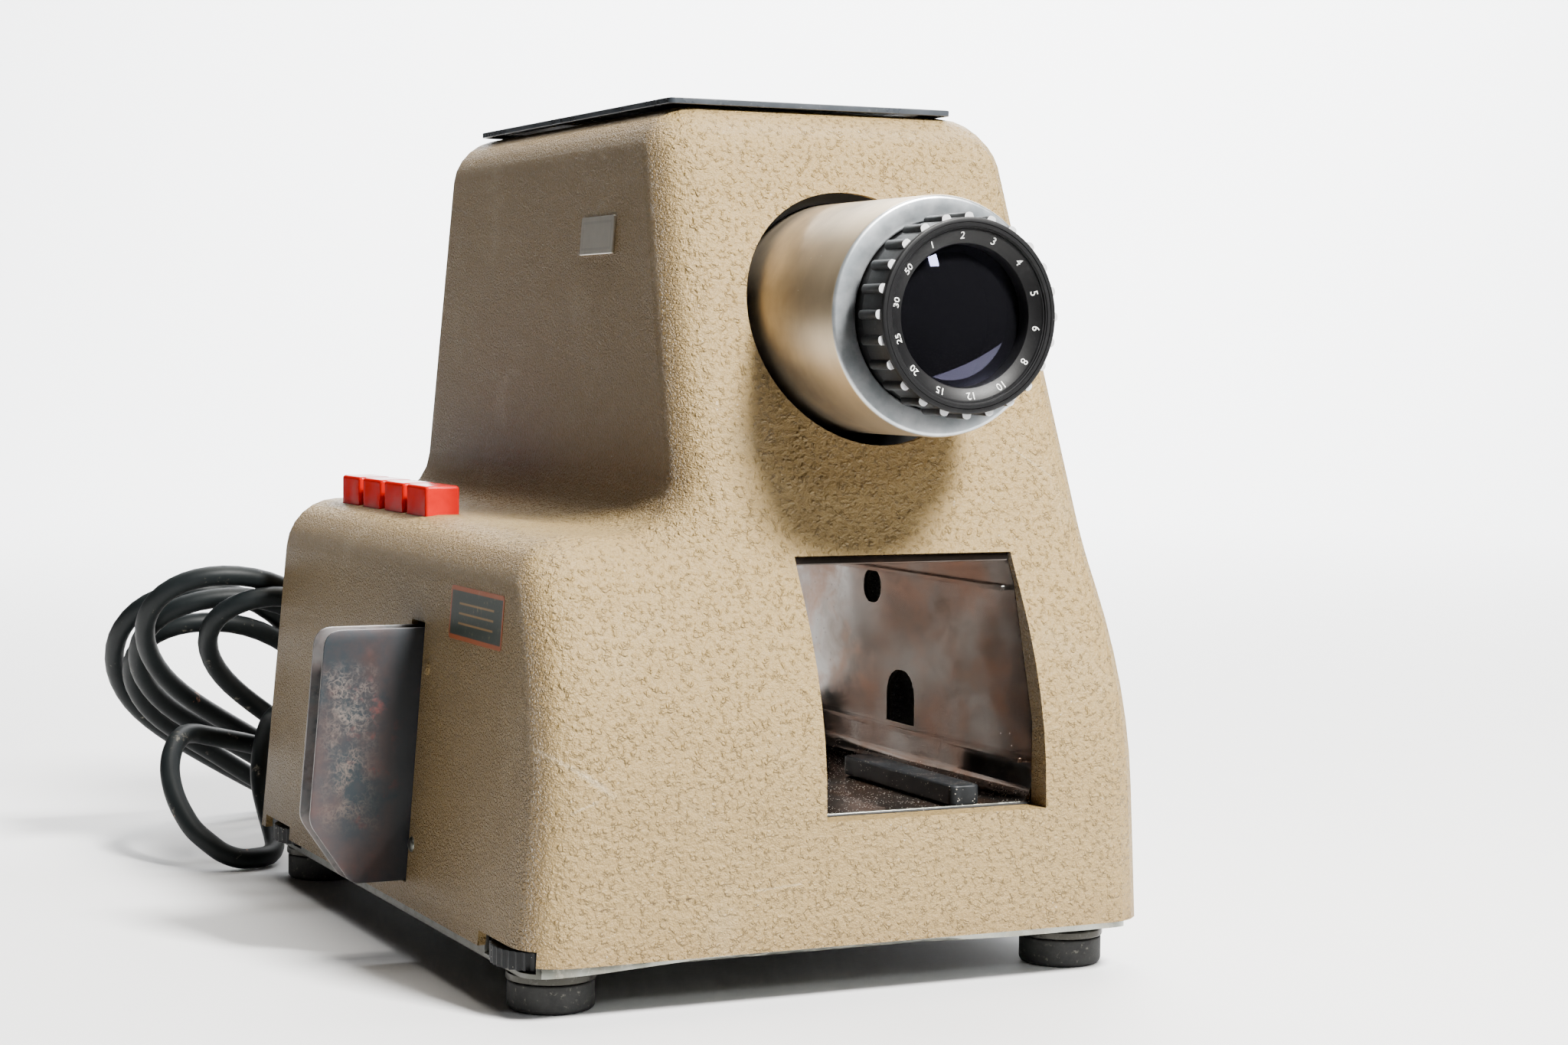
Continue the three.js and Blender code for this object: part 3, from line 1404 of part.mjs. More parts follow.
const finish = {
  paint: material(0xc6ab82, 0.62, 0.05),
  blackPaint: material(0x1c1f24, 0.38, 0.2),
  galvanised: material(0xb4b4ae, 0.45, 0.8),
  tunnelMetal: material(0x77695c, 0.25, 0.9),
  aluminium: material(0xcfcdc8, 0.32, 0.9),
  blackMetal: material(0x16171a, 0.42, 0.4),
  blackPlastic: material(0x1b1b1d, 0.5, 0),
  redPlastic: material(0xe02a26, 0.18, 0),
  rustySteel: material(0x6d5f5c, 0.6, 0.6),
  rubber: material(0x1d1e20, 0.75, 0),
  coatedGlass: material(0x1a1a33, 0.05, 0, { transparent: true, opacity: 0.5 }),
  clearGlass: material(0xdfe8ea, 0.05, 0, { transparent: true, opacity: 0.35 }),
  copper: material(0x8a4a2a, 0.45, 0.6),
  coreSteel: material(0x3a3b3d, 0.6, 0.7),
  ceramic: material(0xe6e0d2, 0.6, 0),
  mirrorMetal: material(0xdedede, 0.08, 1),
};

function add(name, solid, look) {
  solids.push({ name, solid, look });
}

add('housing', buildHousing(), finish.paint);
add('rear_panel', buildRearPanel(), finish.paint);
add('base_pan', buildPan(), finish.galvanised);
add('top_lid', buildLid(), finish.blackPaint);
add('magazine_tunnel', buildTunnel(), finish.tunnelMetal);
add('magazine_guide_bar', buildGuideBar(), finish.blackPlastic);
add('tunnel_trestle_front', buildTrestle(trestle.frontY), finish.galvanised);
add('tunnel_trestle_rear', buildTrestle(casing.depth - trestle.rearInset), finish.galvanised);
add('optical_bench', buildBench(), finish.galvanised);
add('lens_mount', buildLensMount(), finish.blackMetal);
add('lens_sleeve', buildSleeve(), finish.aluminium);
add('lens_guide_tube', buildGuideTube(), finish.blackMetal);
add('lens_cell', buildCell(), finish.blackMetal);
add('focus_ring', buildFocusRing(), finish.blackMetal);
add('lens_retaining_ring', buildRetainingRing(), finish.blackMetal);
const onAxis = [lens.axisX, lens.axisZ];
add(
  'front_lens',
  buildGlass(cellBore, onAxis, glass.frontY, glass.frontBulge, glass.frontEdge, 0),
  finish.coatedGlass,
);
add('middle_lens', buildGlass(
  cellBore, onAxis, glass.middleY, glass.middleBulge, glass.middleEdge, glass.middleBulge,
), finish.coatedGlass);
add(
  'rear_lens',
  buildGlass(cellBore, onAxis, glass.rearY, glass.rearBulge, glass.rearEdge, 0),
  finish.coatedGlass,
);
add('slide_gate', buildGateFrame(), finish.blackMetal);
add('gate_pressure_plate', buildPressurePlate(), finish.aluminium);
add('condenser_barrel', buildCondenserBarrel(), finish.blackMetal);
add(
  'condenser_front_lens',
  buildGlass(condenser.radius, onAxis, optics.frontLensY, 0, optics.edge, optics.bulge),
  finish.clearGlass,
);
add(
  'heat_glass',
  buildGlass(condenser.radius, onAxis, optics.heatGlassY, 0, optics.heatGlass, 0),
  finish.clearGlass,
);
add(
  'condenser_rear_lens',
  buildGlass(condenser.radius, onAxis, optics.rearLensY, optics.bulge, optics.edge, 0),
  finish.clearGlass,
);
add('lamp_bulb', buildBulb(), finish.clearGlass);
add('lamp_socket', buildSocket(), finish.ceramic);
add('lamp_mirror', buildMirror(), finish.mirrorMetal);
add('lamp_house', buildLampHouse(), finish.galvanised);
add('blower_impeller', buildImpeller(), finish.aluminium);
add('blower_shaft', buildShaft(), finish.coreSteel);
add('blower_motor', buildMotor(), finish.coreSteel);
add('transformer_core', buildCore(), finish.coreSteel);
add('transformer_coil', buildCoil(), finish.copper);
add('switch_bank', buildBank(), finish.blackPlastic);
for (let i = 0; i < buttons.count; i += 1) add(`push_button_${i + 1}`, buildButton(i), finish.redPlastic);
add('slide_changer', buildChanger(), finish.rustySteel);
add('changer_runner', buildRunner(), finish.galvanised);
const spindleTop = wheelBottom + foot.wheelThickness + foot.travel + gap;
for (const [place, at] of Object.entries(footPlaces)) {
  const adjustable = place.endsWith('left');
  add(`foot_rubber_${place}`, buildRubber(at), finish.rubber);
  add(`foot_spindle_${place}`, buildSpindle(at, adjustable ? spindleTop : pan.rimTop), finish.galvanised);
  if (adjustable) add(`height_wheel_${place}`, buildWheel(at), finish.blackPlastic);
}
add('lead_strain_relief', buildStrainRelief(), finish.rubber);
add('mains_coil', tubeAlong(coilLine, lead.diameter / 2, lead.coilSides), finish.rubber);
console.log('least gap between the turns of the coil, mm:', leastCoilGap().toFixed(2));
console.log('length of the coil, mm:', lineLength(coilLine).toFixed(0));
add('mains_lead', tubeThrough(leadPoints), finish.rubber);
add('mains_tail', tubeThrough(tailPoints), finish.rubber);
add('mains_plug', buildPlug(), finish.blackPlastic);

const projector = new THREE.Group();
const middle = new THREE.Box3();
for (const { name, solid, look } of solids) {
  const geometry = toGeometry(solid);
  geometry.computeVertexNormals();
  const mesh = new THREE.Mesh(geometry, look);
  mesh.name = name;
  projector.add(mesh);
  if (!name.startsWith('mains_')) middle.expandByObject(mesh);
}
const centre = middle.getCenter(new THREE.Vector3());
projector.position.set(-centre.x, -centre.y, -middle.min.z);
const origin = [centre.x, centre.y, middle.min.z].map((value) => value.toFixed(3));
console.log('origin of the part in the drawing, mm:', ...origin);

export default projector;
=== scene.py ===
import math

import bmesh
import bpy
from mathutils import Matrix, Vector


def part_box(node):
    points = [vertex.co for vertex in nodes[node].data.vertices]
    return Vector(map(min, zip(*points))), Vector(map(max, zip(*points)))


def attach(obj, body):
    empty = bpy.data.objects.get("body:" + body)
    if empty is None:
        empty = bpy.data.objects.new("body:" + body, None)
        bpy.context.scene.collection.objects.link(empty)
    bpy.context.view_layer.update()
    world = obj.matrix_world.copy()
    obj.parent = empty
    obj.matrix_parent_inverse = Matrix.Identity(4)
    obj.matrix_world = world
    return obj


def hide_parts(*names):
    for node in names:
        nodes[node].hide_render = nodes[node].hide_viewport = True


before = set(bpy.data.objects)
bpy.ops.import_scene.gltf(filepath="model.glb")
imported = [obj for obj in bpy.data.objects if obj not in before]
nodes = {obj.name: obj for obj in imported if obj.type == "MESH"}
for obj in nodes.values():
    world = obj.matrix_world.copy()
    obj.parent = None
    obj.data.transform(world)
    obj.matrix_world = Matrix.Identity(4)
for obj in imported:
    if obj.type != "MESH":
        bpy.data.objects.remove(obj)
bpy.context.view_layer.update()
print("frame loaded:", len(nodes), "nodes")

# the drawing measures in mm; this is where its own origin lies in the frame
drawing = {"x": 75.935, "y": 125.133}
perMetre = 1000


def place(x, y, z):
    return Vector(((x - drawing["x"]) / perMetre, (y - drawing["y"]) / perMetre, z / perMetre))


def linked(name, data):
    made = bpy.data.objects.new(name, data)
    bpy.context.scene.collection.objects.link(made)
    return made


# camera

view = {"at": (-243.17, -660.48, 164.06), "yaw": 0.44, "pitch": -0.057, "roll": 0.009,
        "focalPixels": 3825.96, "imageWidth": 2048, "sensor": 36}


def buildCamera():
    yaw, pitch, roll = view["yaw"], view["pitch"], view["roll"]
    ahead = Vector((math.sin(yaw) * math.cos(pitch), math.cos(yaw) * math.cos(pitch), math.sin(pitch)))
    level = Vector((math.cos(yaw), -math.sin(yaw), 0))
    upright = level.cross(ahead)
    right = level * math.cos(roll) + upright * math.sin(roll)
    up = upright * math.cos(roll) - level * math.sin(roll)
    data = bpy.data.cameras.new("camera")
    data.sensor_width = view["sensor"]
    data.lens = view["focalPixels"] / view["imageWidth"] * view["sensor"]
    camera = linked("camera", data)
    turn = Matrix((right, up, -ahead)).transposed().to_4x4()
    camera.matrix_world = Matrix.Translation(place(*view["at"])) @ turn
    bpy.context.scene.camera = camera


buildCamera()

# shader maths: a socket that adds up as a number does


def maths(operation, swapped=False):
    def run(self, other):
        pair = (other, self) if swapped else (self, other)
        return self.finish.node("ShaderNodeMath", {"operation": operation}, dict(enumerate(pair)))
    return run


class Sock:
    def __init__(self, finish, socket):
        self.finish = finish
        self.socket = socket

    __add__ = maths("ADD")
    __radd__ = maths("ADD", True)
    __sub__ = maths("SUBTRACT")
    __rsub__ = maths("SUBTRACT", True)
    __mul__ = maths("MULTIPLY")
    __truediv__ = maths("DIVIDE")
    below = maths("LESS_THAN")
    above = maths("GREATER_THAN")
    least = maths("MINIMUM")
    most = maths("MAXIMUM")

    def clipped(self, high=1.0):
        return self.least(high).most(0.0)

    def size(self):
        return self.finish.node("ShaderNodeMath", {"operation": "ABSOLUTE"}, {0: self})


socketNames = {"color": "Base Color", "roughness": "Roughness", "metallic": "Metallic", "coat": "Coat Weight",
               "coatRoughness": "Coat Roughness", "normal": "Normal", "ior": "IOR",
               "specular": "Specular IOR Level", "specularTint": "Specular Tint",
               "transmission": "Transmission Weight"}
# past every side of the object, in mm; a mask's box is open where a side lies there
whole = 1000.0
longestBox = 0.9


class Finish:
    # a material on the Principled shader, painted in the object's own coordinates
    def __init__(self, name, slot, look, **constants):
        self.slot = slot
        self.look = look
        self.material = bpy.data.materials.new(name)
        self.material.use_nodes = True
        self.tree = self.material.node_tree
        self.shader = self.tree.nodes["Principled BSDF"]
        for key, value in constants.items():
            self.shader.inputs[socketNames[key]].default_value = value
        self.where = self.node("ShaderNodeTexCoord", {}, {}, "Object")
        self.parts = self.split(self.where)

    def node(self, kind, settings, inputs, output=0):
        made = self.tree.nodes.new(kind)
        for key, value in settings.items():
            if key == "stops":
                self.setStops(made.color_ramp, value)
            else:
                setattr(made, key, value)
        for key, value in inputs.items():
            self.feed(made.inputs[key], value)
        return Sock(self, made.outputs[output])

    def setStops(self, ramp, stops):
        while len(ramp.elements) < len(stops):
            ramp.elements.new(1)
        for element, (position, shade) in zip(ramp.elements, stops):
            element.position = position
            element.color = (shade, shade, shade, 1)

    def feed(self, socket, value):
        # a socket, a number, a colour or the name of a shade in look
        if isinstance(value, str):
            value = self.look[value]
        if isinstance(value, Sock):
            self.tree.links.new(value.socket, socket)
        elif isinstance(value, tuple) and socket.type == "RGBA":
            socket.default_value = (*value, 1)
        else:
            socket.default_value = value

    def paint(self, **values):
        for key, value in values.items():
            self.feed(self.shader.inputs[socketNames[key]], value)

    def split(self, vector):
        made = self.tree.nodes.new("ShaderNodeSeparateXYZ")
        self.feed(made.inputs[0], vector)
        return [Sock(self, out) for out in made.outputs]

    def mix(self, share, first, second):
        settings = {"data_type": "RGBA", "clamp_factor": True}
        return self.node("ShaderNodeMix", settings, {0: share, 6: first, 7: second}, 2)

    def layered(self, tone, *layers):
        # shades laid over a tone one after the other, each through its own mask
        for mask, shade in layers:
            tone = self.mix(mask, tone, shade)
        return tone

    def ramp(self, value, *stops):
        return self.node("ShaderNodeValToRGB", {"stops": stops}, {0: value})

    def noise(self, grain, detail=3, rough=0.5, where=None):
        # grain is the size of a blotch in mm
        inputs = {"Vector": where or self.where, "Scale": perMetre / grain, "Detail": detail, "Roughness": rough}
        return self.node("ShaderNodeTexNoise", {}, inputs, "Fac")

    def blotch(self, grain, low, high, detail=3, rough=0.5, where=None):
        return self.ramp(self.noise(grain, detail, rough, where), (low, 0.0), (high, 1.0))

    def cells(self, size, where=None, feature="F1"):
        inputs = {"Vector": where or self.where, "Scale": perMetre / size}
        return self.node("ShaderNodeTexVoronoi", {"feature": feature}, inputs, "Distance")

    def bands(self, direction, scale, distortion):
        settings = {"wave_type": "BANDS", "bands_direction": direction}
        inputs = {"Vector": self.where, "Scale": scale, "Distortion": distortion}
        return self.node("ShaderNodeTexWave", settings, inputs, "Fac")

    def edges(self, size, grain, reach):
        # the distance to the wobbly edges between cells
        return self.cells(size, self.wobbled(grain, reach), "DISTANCE_TO_EDGE")

    def specks(self, size, radius, share):
        # small round grains, kept only on a share of the surface
        return self.cells(size).below(radius) * self.noise(size * 6, 2, 0.6).above(1 - share)

    def vector(self, operation, *values):
        return self.node("ShaderNodeVectorMath", {"operation": operation}, dict(enumerate(values)))

    def stretched(self, x, y, z):
        return self.vector("MULTIPLY", self.where, (x, y, z))

    def wobbled(self, grain, reach, where=None):
        # coordinates pushed about by a noise, reach in mm
        base = where or self.where
        push = self.node("ShaderNodeTexNoise", {}, {"Vector": base, "Scale": perMetre / grain, "Detail": 2.0},
                         "Color")
        centred = self.vector("SUBTRACT", push, (0.5, 0.5, 0.5))
        inputs = {0: centred, "Scale": reach * 2 / perMetre}
        return self.vector("ADD", base, self.node("ShaderNodeVectorMath", {"operation": "SCALE"}, inputs))

    def bump(self, height, strength, depth):
        # depth in mm
        inputs = {"Height": height, "Strength": strength, "Distance": depth / perMetre}
        self.paint(normal=self.node("ShaderNodeBump", {}, inputs, "Normal"))

    def past(self, axis, start, rate, high=1.0):
        # a mask that grows from a plane of the drawing, by rate for each metre
        return ((self.parts[axis] - place(start, start, start)[axis]) * rate).clipped(high)

    def facingLeft(self, start):
        # a mask of the walls that face the viewer's left
        facing = self.split(self.node("ShaderNodeTexCoord", {}, {}, "Normal"))[0]
        return ((facing * -1 - start) * 4).clipped()

    def inBox(self, low, high, soft):
        # a mask that is 1 inside a box of the drawing and fades over soft mm
        mask = None
        for axis, (a, b) in enumerate(zip(place(*low), place(*high))):
            if b - a > longestBox:
                continue
            middle, half = (a + b) / 2, (b - a) / 2
            inside = (half - (self.parts[axis] - middle).size()) / (soft / perMetre)
            mask = inside if mask is None else mask.least(inside)
        return mask.clipped()

    def nearLine(self, start, end, width):
        # a mask round a stroke between two points of the drawing, seen from the front
        a, b = place(*start), place(*end)
        dx, dz = b.x - a.x, b.z - a.z
        length = math.hypot(dx, dz)
        px, pz = self.parts[0] - (a.x + b.x) / 2, self.parts[2] - (a.z + b.z) / 2
        along = (px * (dx / length) + pz * (dz / length)).size()
        across = (px * (-dz / length) + pz * (dx / length)).size()
        half = width / 2 / perMetre
        thin = 1 - across / half
        ends = (length / 2 - along) / (half * 4)
        return thin.least(ends).clipped()


changer = {"front": 96.6, "rear": 107.2, "bottom": 20.8, "top": 89.6, "sheet": 0.9, "left": -21.8,
           "lean": 0.085, "end": 45, "recess": 3.6, "radius": 5, "chamferX": 13, "chamferZ": 17,
           "softRadius": 2.5}

# finishes


def casingPaint():
    # crinkle enamel: soft cells with short creases between them, leathery on the left walls, which are painted
    # darker as their shade, rubbed pale in places and stained in others; strokes run from point to point with a
    # width in mm
    look = {"light": (0.25, 0.169, 0.064), "deep": (0.19, 0.125, 0.046), "crease": (0.068, 0.04, 0.016),
            "stain": (0.12, 0.068, 0.025), "pale": (0.34, 0.27, 0.16), "handled": (0.105, 0.062, 0.026),
            "dust": (0.45, 0.4, 0.32), "cell": 1.7, "leather": 1.15, "fine": 0.45,
            "scuffs": [((4, 0, 68), (21, 0, 58), 1.6), ((13, 0, 63), (24, 0, 55), 2.4),
                       ((11, 0, 52), (19, 0, 55), 1.1), ((60, 0, 30), (74, 0, 31), 0.8),
                       ((150, 0, 140), (163, 0, 131), 0.9)],
            "marks": [((18, 0, 28), (54, 0, 30), 0.7), ((96, 0, 24), (108, 0, 24.6), 0.6)]}
    f = Finish("crinkle_enamel", "paint", look, specular=0.38)
    # side marks the walls that face left: they get leather grain, and their colour is painted darker as shade
    side = f.facingLeft(0.55)
    front = 1 - side * 0.75
    edges = f.edges(look["cell"], 1.9, 1.6)
    domes = f.ramp(edges, (0.0, 0.0), (0.06, 0.5), (0.3, 1.0))
    swell = f.noise(1.5, 3, 0.55)
    grain = f.noise(look["fine"], 3, 0.6)
    folds = f.blotch(1.6, 0.52, 0.66, 1)
    # the creases between the cells are painted dark, as shade in them; the marks further down share their colour
    creases = f.ramp(edges, (0.0, 1.0), (0.07, 0.0)) * folds * front
    leather = f.ramp(f.edges(look["leather"], 1.2, 1.0), (0.0, 0.0), (0.22, 1.0))
    rubbed = f.blotch(30, 0.58, 0.8, 4, 0.6) * 0.28
    drips = f.blotch(21, 0.62, 0.8, 3, 0.6) * 0.24
    # darker towards the bottom, in patches
    darkened = f.ramp(f.parts[2], (0.0143, 0.45), (0.024, 0.0)) * f.noise(6, 4, 0.7)
    # where the swell sinks the colour goes to the deep shade, as painted shade in the hollows
    tone = f.layered(f.mix(f.noise(60, 3, 0.5), "deep", "light"), (0.6, "light"),
                     (creases * 0.48, "crease"), (f.ramp(swell, (0.32, 0.4), (0.46, 0.0)), "deep"),
                     (side * 0.4, "handled"), (rubbed, "pale"), (drips, "stain"),
                     (darkened, "stain"))
    for stroke in look["scuffs"]:
        tone = f.mix(f.nearLine(*stroke) * f.noise(1.2, 3) * 1.1, tone, "pale")
    for stroke in look["marks"]:
        tone = f.mix(f.nearLine(*stroke) * f.blotch(1.6, 0.45, 0.6), tone, "crease")
    tone = f.mix(f.specks(2.6, 0.1, 0.44) * 0.4, tone, "dust")
    f.paint(color=tone, roughness=0.375 + grain * 0.14 - rubbed * 0.2)
    height = (domes * (folds * 0.6 + 0.12) + swell * 1.1) * front + leather * side * 0.75 + grain * 0.4
    f.bump(height, 0.95, 0.85)
    return f


def lidEnamel():
    look = {"base": (0.03, 0.035, 0.042), "worn": (0.1, 0.11, 0.13), "dust": (0.3, 0.3, 0.29)}
    f = Finish("black_enamel", "black_paint", look, coat=0.55, coatRoughness=0.2, specular=0.5)
    cloud = f.blotch(22, 0.4, 0.7, 5, 0.6)
    lines = f.blotch(0.9, 0.62, 0.7, 2, 0.5, f.stretched(1, 0.05, 1)) * f.blotch(14, 0.5, 0.62)
    tone = f.layered("base", (cloud * 0.35, "worn"), (f.specks(2.7, 0.07, 0.42) * 0.6, "dust"),
                     (lines * 0.12, "dust"))
    f.paint(color=tone, roughness=0.26 + cloud * 0.16)
    f.bump(f.noise(0.7, 3), 0.12, 0.06)
    return f


def satinAluminium():
    # turned tube: champagne barrel with fine rings, painted darker towards the casing as shade near the hole, and
    # a bluish milky front face
    look = {"base": (0.62, 0.505, 0.35), "dull": (0.47, 0.375, 0.25), "face": (0.4, 0.435, 0.46),
            "milk": (0.6, 0.62, 0.64), "soot": (0.2, 0.175, 0.15), "dust": (0.86, 0.86, 0.84),
            "speck": (0.03, 0.03, 0.03), "shadeFrom": 8, "frontEnd": 1.75}
    f = Finish("satin_aluminium", "aluminium", look, metallic=0.86)
    turning = f.noise(0.5, 3, 0.6, f.stretched(0.1, 1, 0.1))
    cloud = f.blotch(14, 0.35, 0.7, 4, 0.6)
    # the soot colour here is painted shade, deepening towards the hole in the casing
    deep = f.past(1, look["shadeFrom"], 55, 0.9)
    front = f.past(1, look["frontEnd"], -3000)
    milky = f.mix(f.blotch(7, 0.4, 0.7, 5, 0.6), "face", "milk")
    tone = f.layered("base", (cloud * 0.35 + turning * 0.2, "dull"),
                     (deep * f.noise(9, 3), "soot"), (front, milky),
                     (f.specks(3.4, 0.06, 0.42) * 0.7, "dust"), (f.specks(7.5, 0.05, 0.36), "speck"))
    f.paint(color=tone, roughness=0.34 + turning * 0.1 + cloud * 0.06 - front * 0.06)
    f.bump(turning, 0.1, 0.03)
    return f


def blackAnodised():
    look = {"base": (0.003, 0.003, 0.0034), "rubbed": (0.015, 0.015, 0.016), "dust": (0.15, 0.15, 0.14)}
    f = Finish("black_anodised", "black_metal", look, specular=0.22)
    grain = f.noise(0.35, 3, 0.7)
    worn = f.blotch(5, 0.54, 0.72, 5, 0.65)
    tone = f.layered("base", (worn * 0.4, "rubbed"),
                     (f.ramp(grain, (0.62, 0.0), (0.74, 0.35)), "rubbed"),
                     (f.specks(2.3, 0.06, 0.4) * 0.5, "dust"))
    f.paint(color=tone, roughness=0.36 + grain * 0.2 - worn * 0.08)
    f.bump(grain, 0.3, 0.05)
    return f


def coatedGlass():
    look = {"tint": (0.06, 0.06, 0.075), "haze": (0.12, 0.12, 0.14), "dust": (0.9, 0.9, 0.9),
            "reflection": (0.62, 0.6, 1.0, 1)}
    f = Finish("coated_glass", "coated_glass", look, transmission=0.96, ior=1.5, specularTint=look["reflection"])
    cloud = f.blotch(9, 0.5, 0.8, 5, 0.6)
    dust = f.specks(4.4, 0.03, 0.42)
    tone = f.layered("tint", (cloud * 0.2, "haze"), (dust, "dust"))
    f.paint(color=tone, roughness=0.015 + cloud * 0.05 + dust * 0.5)
    return f


def agedNickel():
    # a bright plated sheet gone brown, with copper-coloured clouds, black pits and streaks
    look = {"bright": (0.24, 0.228, 0.215), "brown": (0.075, 0.05, 0.033), "copper": (0.2, 0.088, 0.04),
            "pit": (0.035, 0.025, 0.02), "dust": (0.8, 0.76, 0.68), "rim": (0.6, 0.57, 0.52), "ceiling": 110.4,
            "browShadow": ((-60, -50, 108.6), (whole, 24, 114)), "sill": ((-60, -50, 43), (whole, 9.4, 46.9))}
    f = Finish("aged_nickel", "tunnel_metal", look, metallic=0.92)
    streaky = f.wobbled(16, 5, f.stretched(1, 0.6, 0.9))
    cloud = f.blotch(26, 0.34, 0.66, 6, 0.62, streaky)
    warm = f.blotch(17, 0.46, 0.68, 6, 0.66, streaky)
    # the ceiling and its turned-down front edge are painted dark as shade, the floor's front edge is bare
    ceiling = f.past(2, look["ceiling"], 1500)
    browShadow = f.inBox(*look["browShadow"], 0.5)
    sill = f.inBox(*look["sill"], 0.3)
    floorDust = f.ramp(f.parts[2], (0.0478, 1.0), (0.0484, 0.0)) * f.specks(0.9, 0.2, 0.52)
    dust = (f.specks(4.2, 0.05, 0.4) * 0.6).most(floorDust * 0.9)
    tone = f.layered(f.mix(cloud, "bright", "brown"), (warm * 0.8, "copper"),
                     (f.specks(2.6, 0.11, 0.52), "pit"), (ceiling * 0.8, "pit"),
                     (f.blotch(3, 0.6, 0.72, 5, 0.7) * 0.35, "pit"), (browShadow * 0.75, "pit"),
                     (sill * 0.9, "rim"), (dust, "dust"))
    f.paint(color=tone, roughness=0.07 + cloud * 0.05 + warm * 0.1 + dust * 0.4)
    f.bump(f.noise(14, 1, 0.4), 0.02, 0.1)
    return f


def blackBakelite():
    look = {"base": (0.007, 0.008, 0.009), "grey": (0.025, 0.027, 0.03), "dust": (0.4, 0.37, 0.32)}
    f = Finish("black_bakelite", "black_plastic", look, specular=0.18)
    cloud = f.blotch(5, 0.42, 0.72, 5, 0.66)
    tone = f.layered("base", (cloud * 0.55, "grey"), (f.specks(0.95, 0.17, 0.5) * 0.75, "dust"))
    f.paint(color=tone, roughness=0.34 + cloud * 0.2)
    f.bump(f.noise(0.5, 3, 0.6), 0.15, 0.05)
    return f


def redPlastic():
    look = {"base": (0.5, 0.001, 0.0005), "deep": (0.3, 0.001, 0.0005), "film": (0.42, 0.02, 0.015),
            "dust": (0.85, 0.6, 0.5)}
    f = Finish("red_plastic", "red_plastic", look, coat=0.02, coatRoughness=0.06, specular=0.09)
    cloud = f.blotch(6, 0.4, 0.7, 4, 0.6)
    tone = f.layered("base", (cloud * 0.55, "deep"),
                     (f.blotch(3.5, 0.58, 0.75, 4) * 0.12, "film"),
                     (f.specks(2.5, 0.05, 0.4) * 0.5, "dust"))
    f.paint(color=tone, roughness=0.14 + cloud * 0.1)
    f.bump(f.noise(4, 3), 0.06, 0.1)
    return f


def oxidisedSteel():
    # blued plate: violet-brown skin, painted dark blue towards the slot as a reflection, a pale bloom in the
    # middle, red rust in spots, brighter worn edges
    look = {"skin": (0.072, 0.05, 0.048), "blue": (0.03, 0.039, 0.046), "bloom": (0.205, 0.155, 0.125),
            "rust": (0.115, 0.018, 0.014), "bright": (0.5, 0.47, 0.44), "gap": (0.006, 0.006, 0.007),
            "reflectionFrom": -9, "middle": ((-25, -whole, 34), (-6, whole, 82)),
            "near": ((-17, -whole, 34), (-1, whole, 78))}
    f = Finish("oxidised_steel", "rusty_steel", look, metallic=0.55)
    cloud = f.blotch(20, 0.38, 0.62, 5, 0.6)
    # towards the slot the plate is painted dark blue, as the reflection it shows there
    slotReflection = f.past(0, look["reflectionFrom"], 130)
    middle = f.inBox(*look["middle"], 12)
    veins = f.ramp(f.edges(2.6, 3.2, 5), (0.0, 1.0), (0.16, 0.0))
    lace = (veins * 0.7 + f.blotch(1.1, 0.42, 0.62, 4, 0.7) * 0.5) * f.blotch(7, 0.4, 0.56, 5, 0.66)
    bloom = (middle * lace).least(1.0)
    near = f.inBox(*look["near"], 8)
    rust = f.blotch(5.5, 0.54, 0.66, 6, 0.68) * (near * 0.85 + 0.12)
    # the two plates' edges are worn, and what lies between them is painted dark as shade
    y0, y1, sheet = changer["front"], changer["rear"], changer["sheet"]
    frontRim = f.inBox((-whole, y0 + 0.25, -whole), (whole, y0 + sheet + 0.1, whole), 0.15)
    rearRim = f.inBox((-whole, y1 - sheet - 0.1, -whole), (whole, y1 - 0.1, whole), 0.15)
    rims = frontRim.most(rearRim * 0.5)
    between = f.inBox((-whole, y0 + sheet + 0.1, -whole), (whole, y1 - sheet - 0.1, whole), 0.2)
    tone = f.layered(f.mix(cloud.most(slotReflection * 0.8), "skin", "blue"),
                     (bloom * 0.75, "bloom"), (rust * 0.75, "rust"),
                     (rims * f.blotch(3, 0.25, 0.5, 3) * 0.35, "bright"), (between, "gap"),
                     (f.specks(6.1, 0.04, 0.4) * 0.7, "bright"))
    f.paint(color=tone, roughness=0.34 + bloom * 0.35 + rust * 0.3 + cloud * 0.08 + between * 0.4,
            metallic=(0.62 - bloom * 0.5 - rust * 0.5) * (1 - between) * (1 - rims * 0.5))
    f.bump(lace * middle * 0.6 + f.noise(0.6, 3) * 0.3, 0.3, 0.12)
    return f


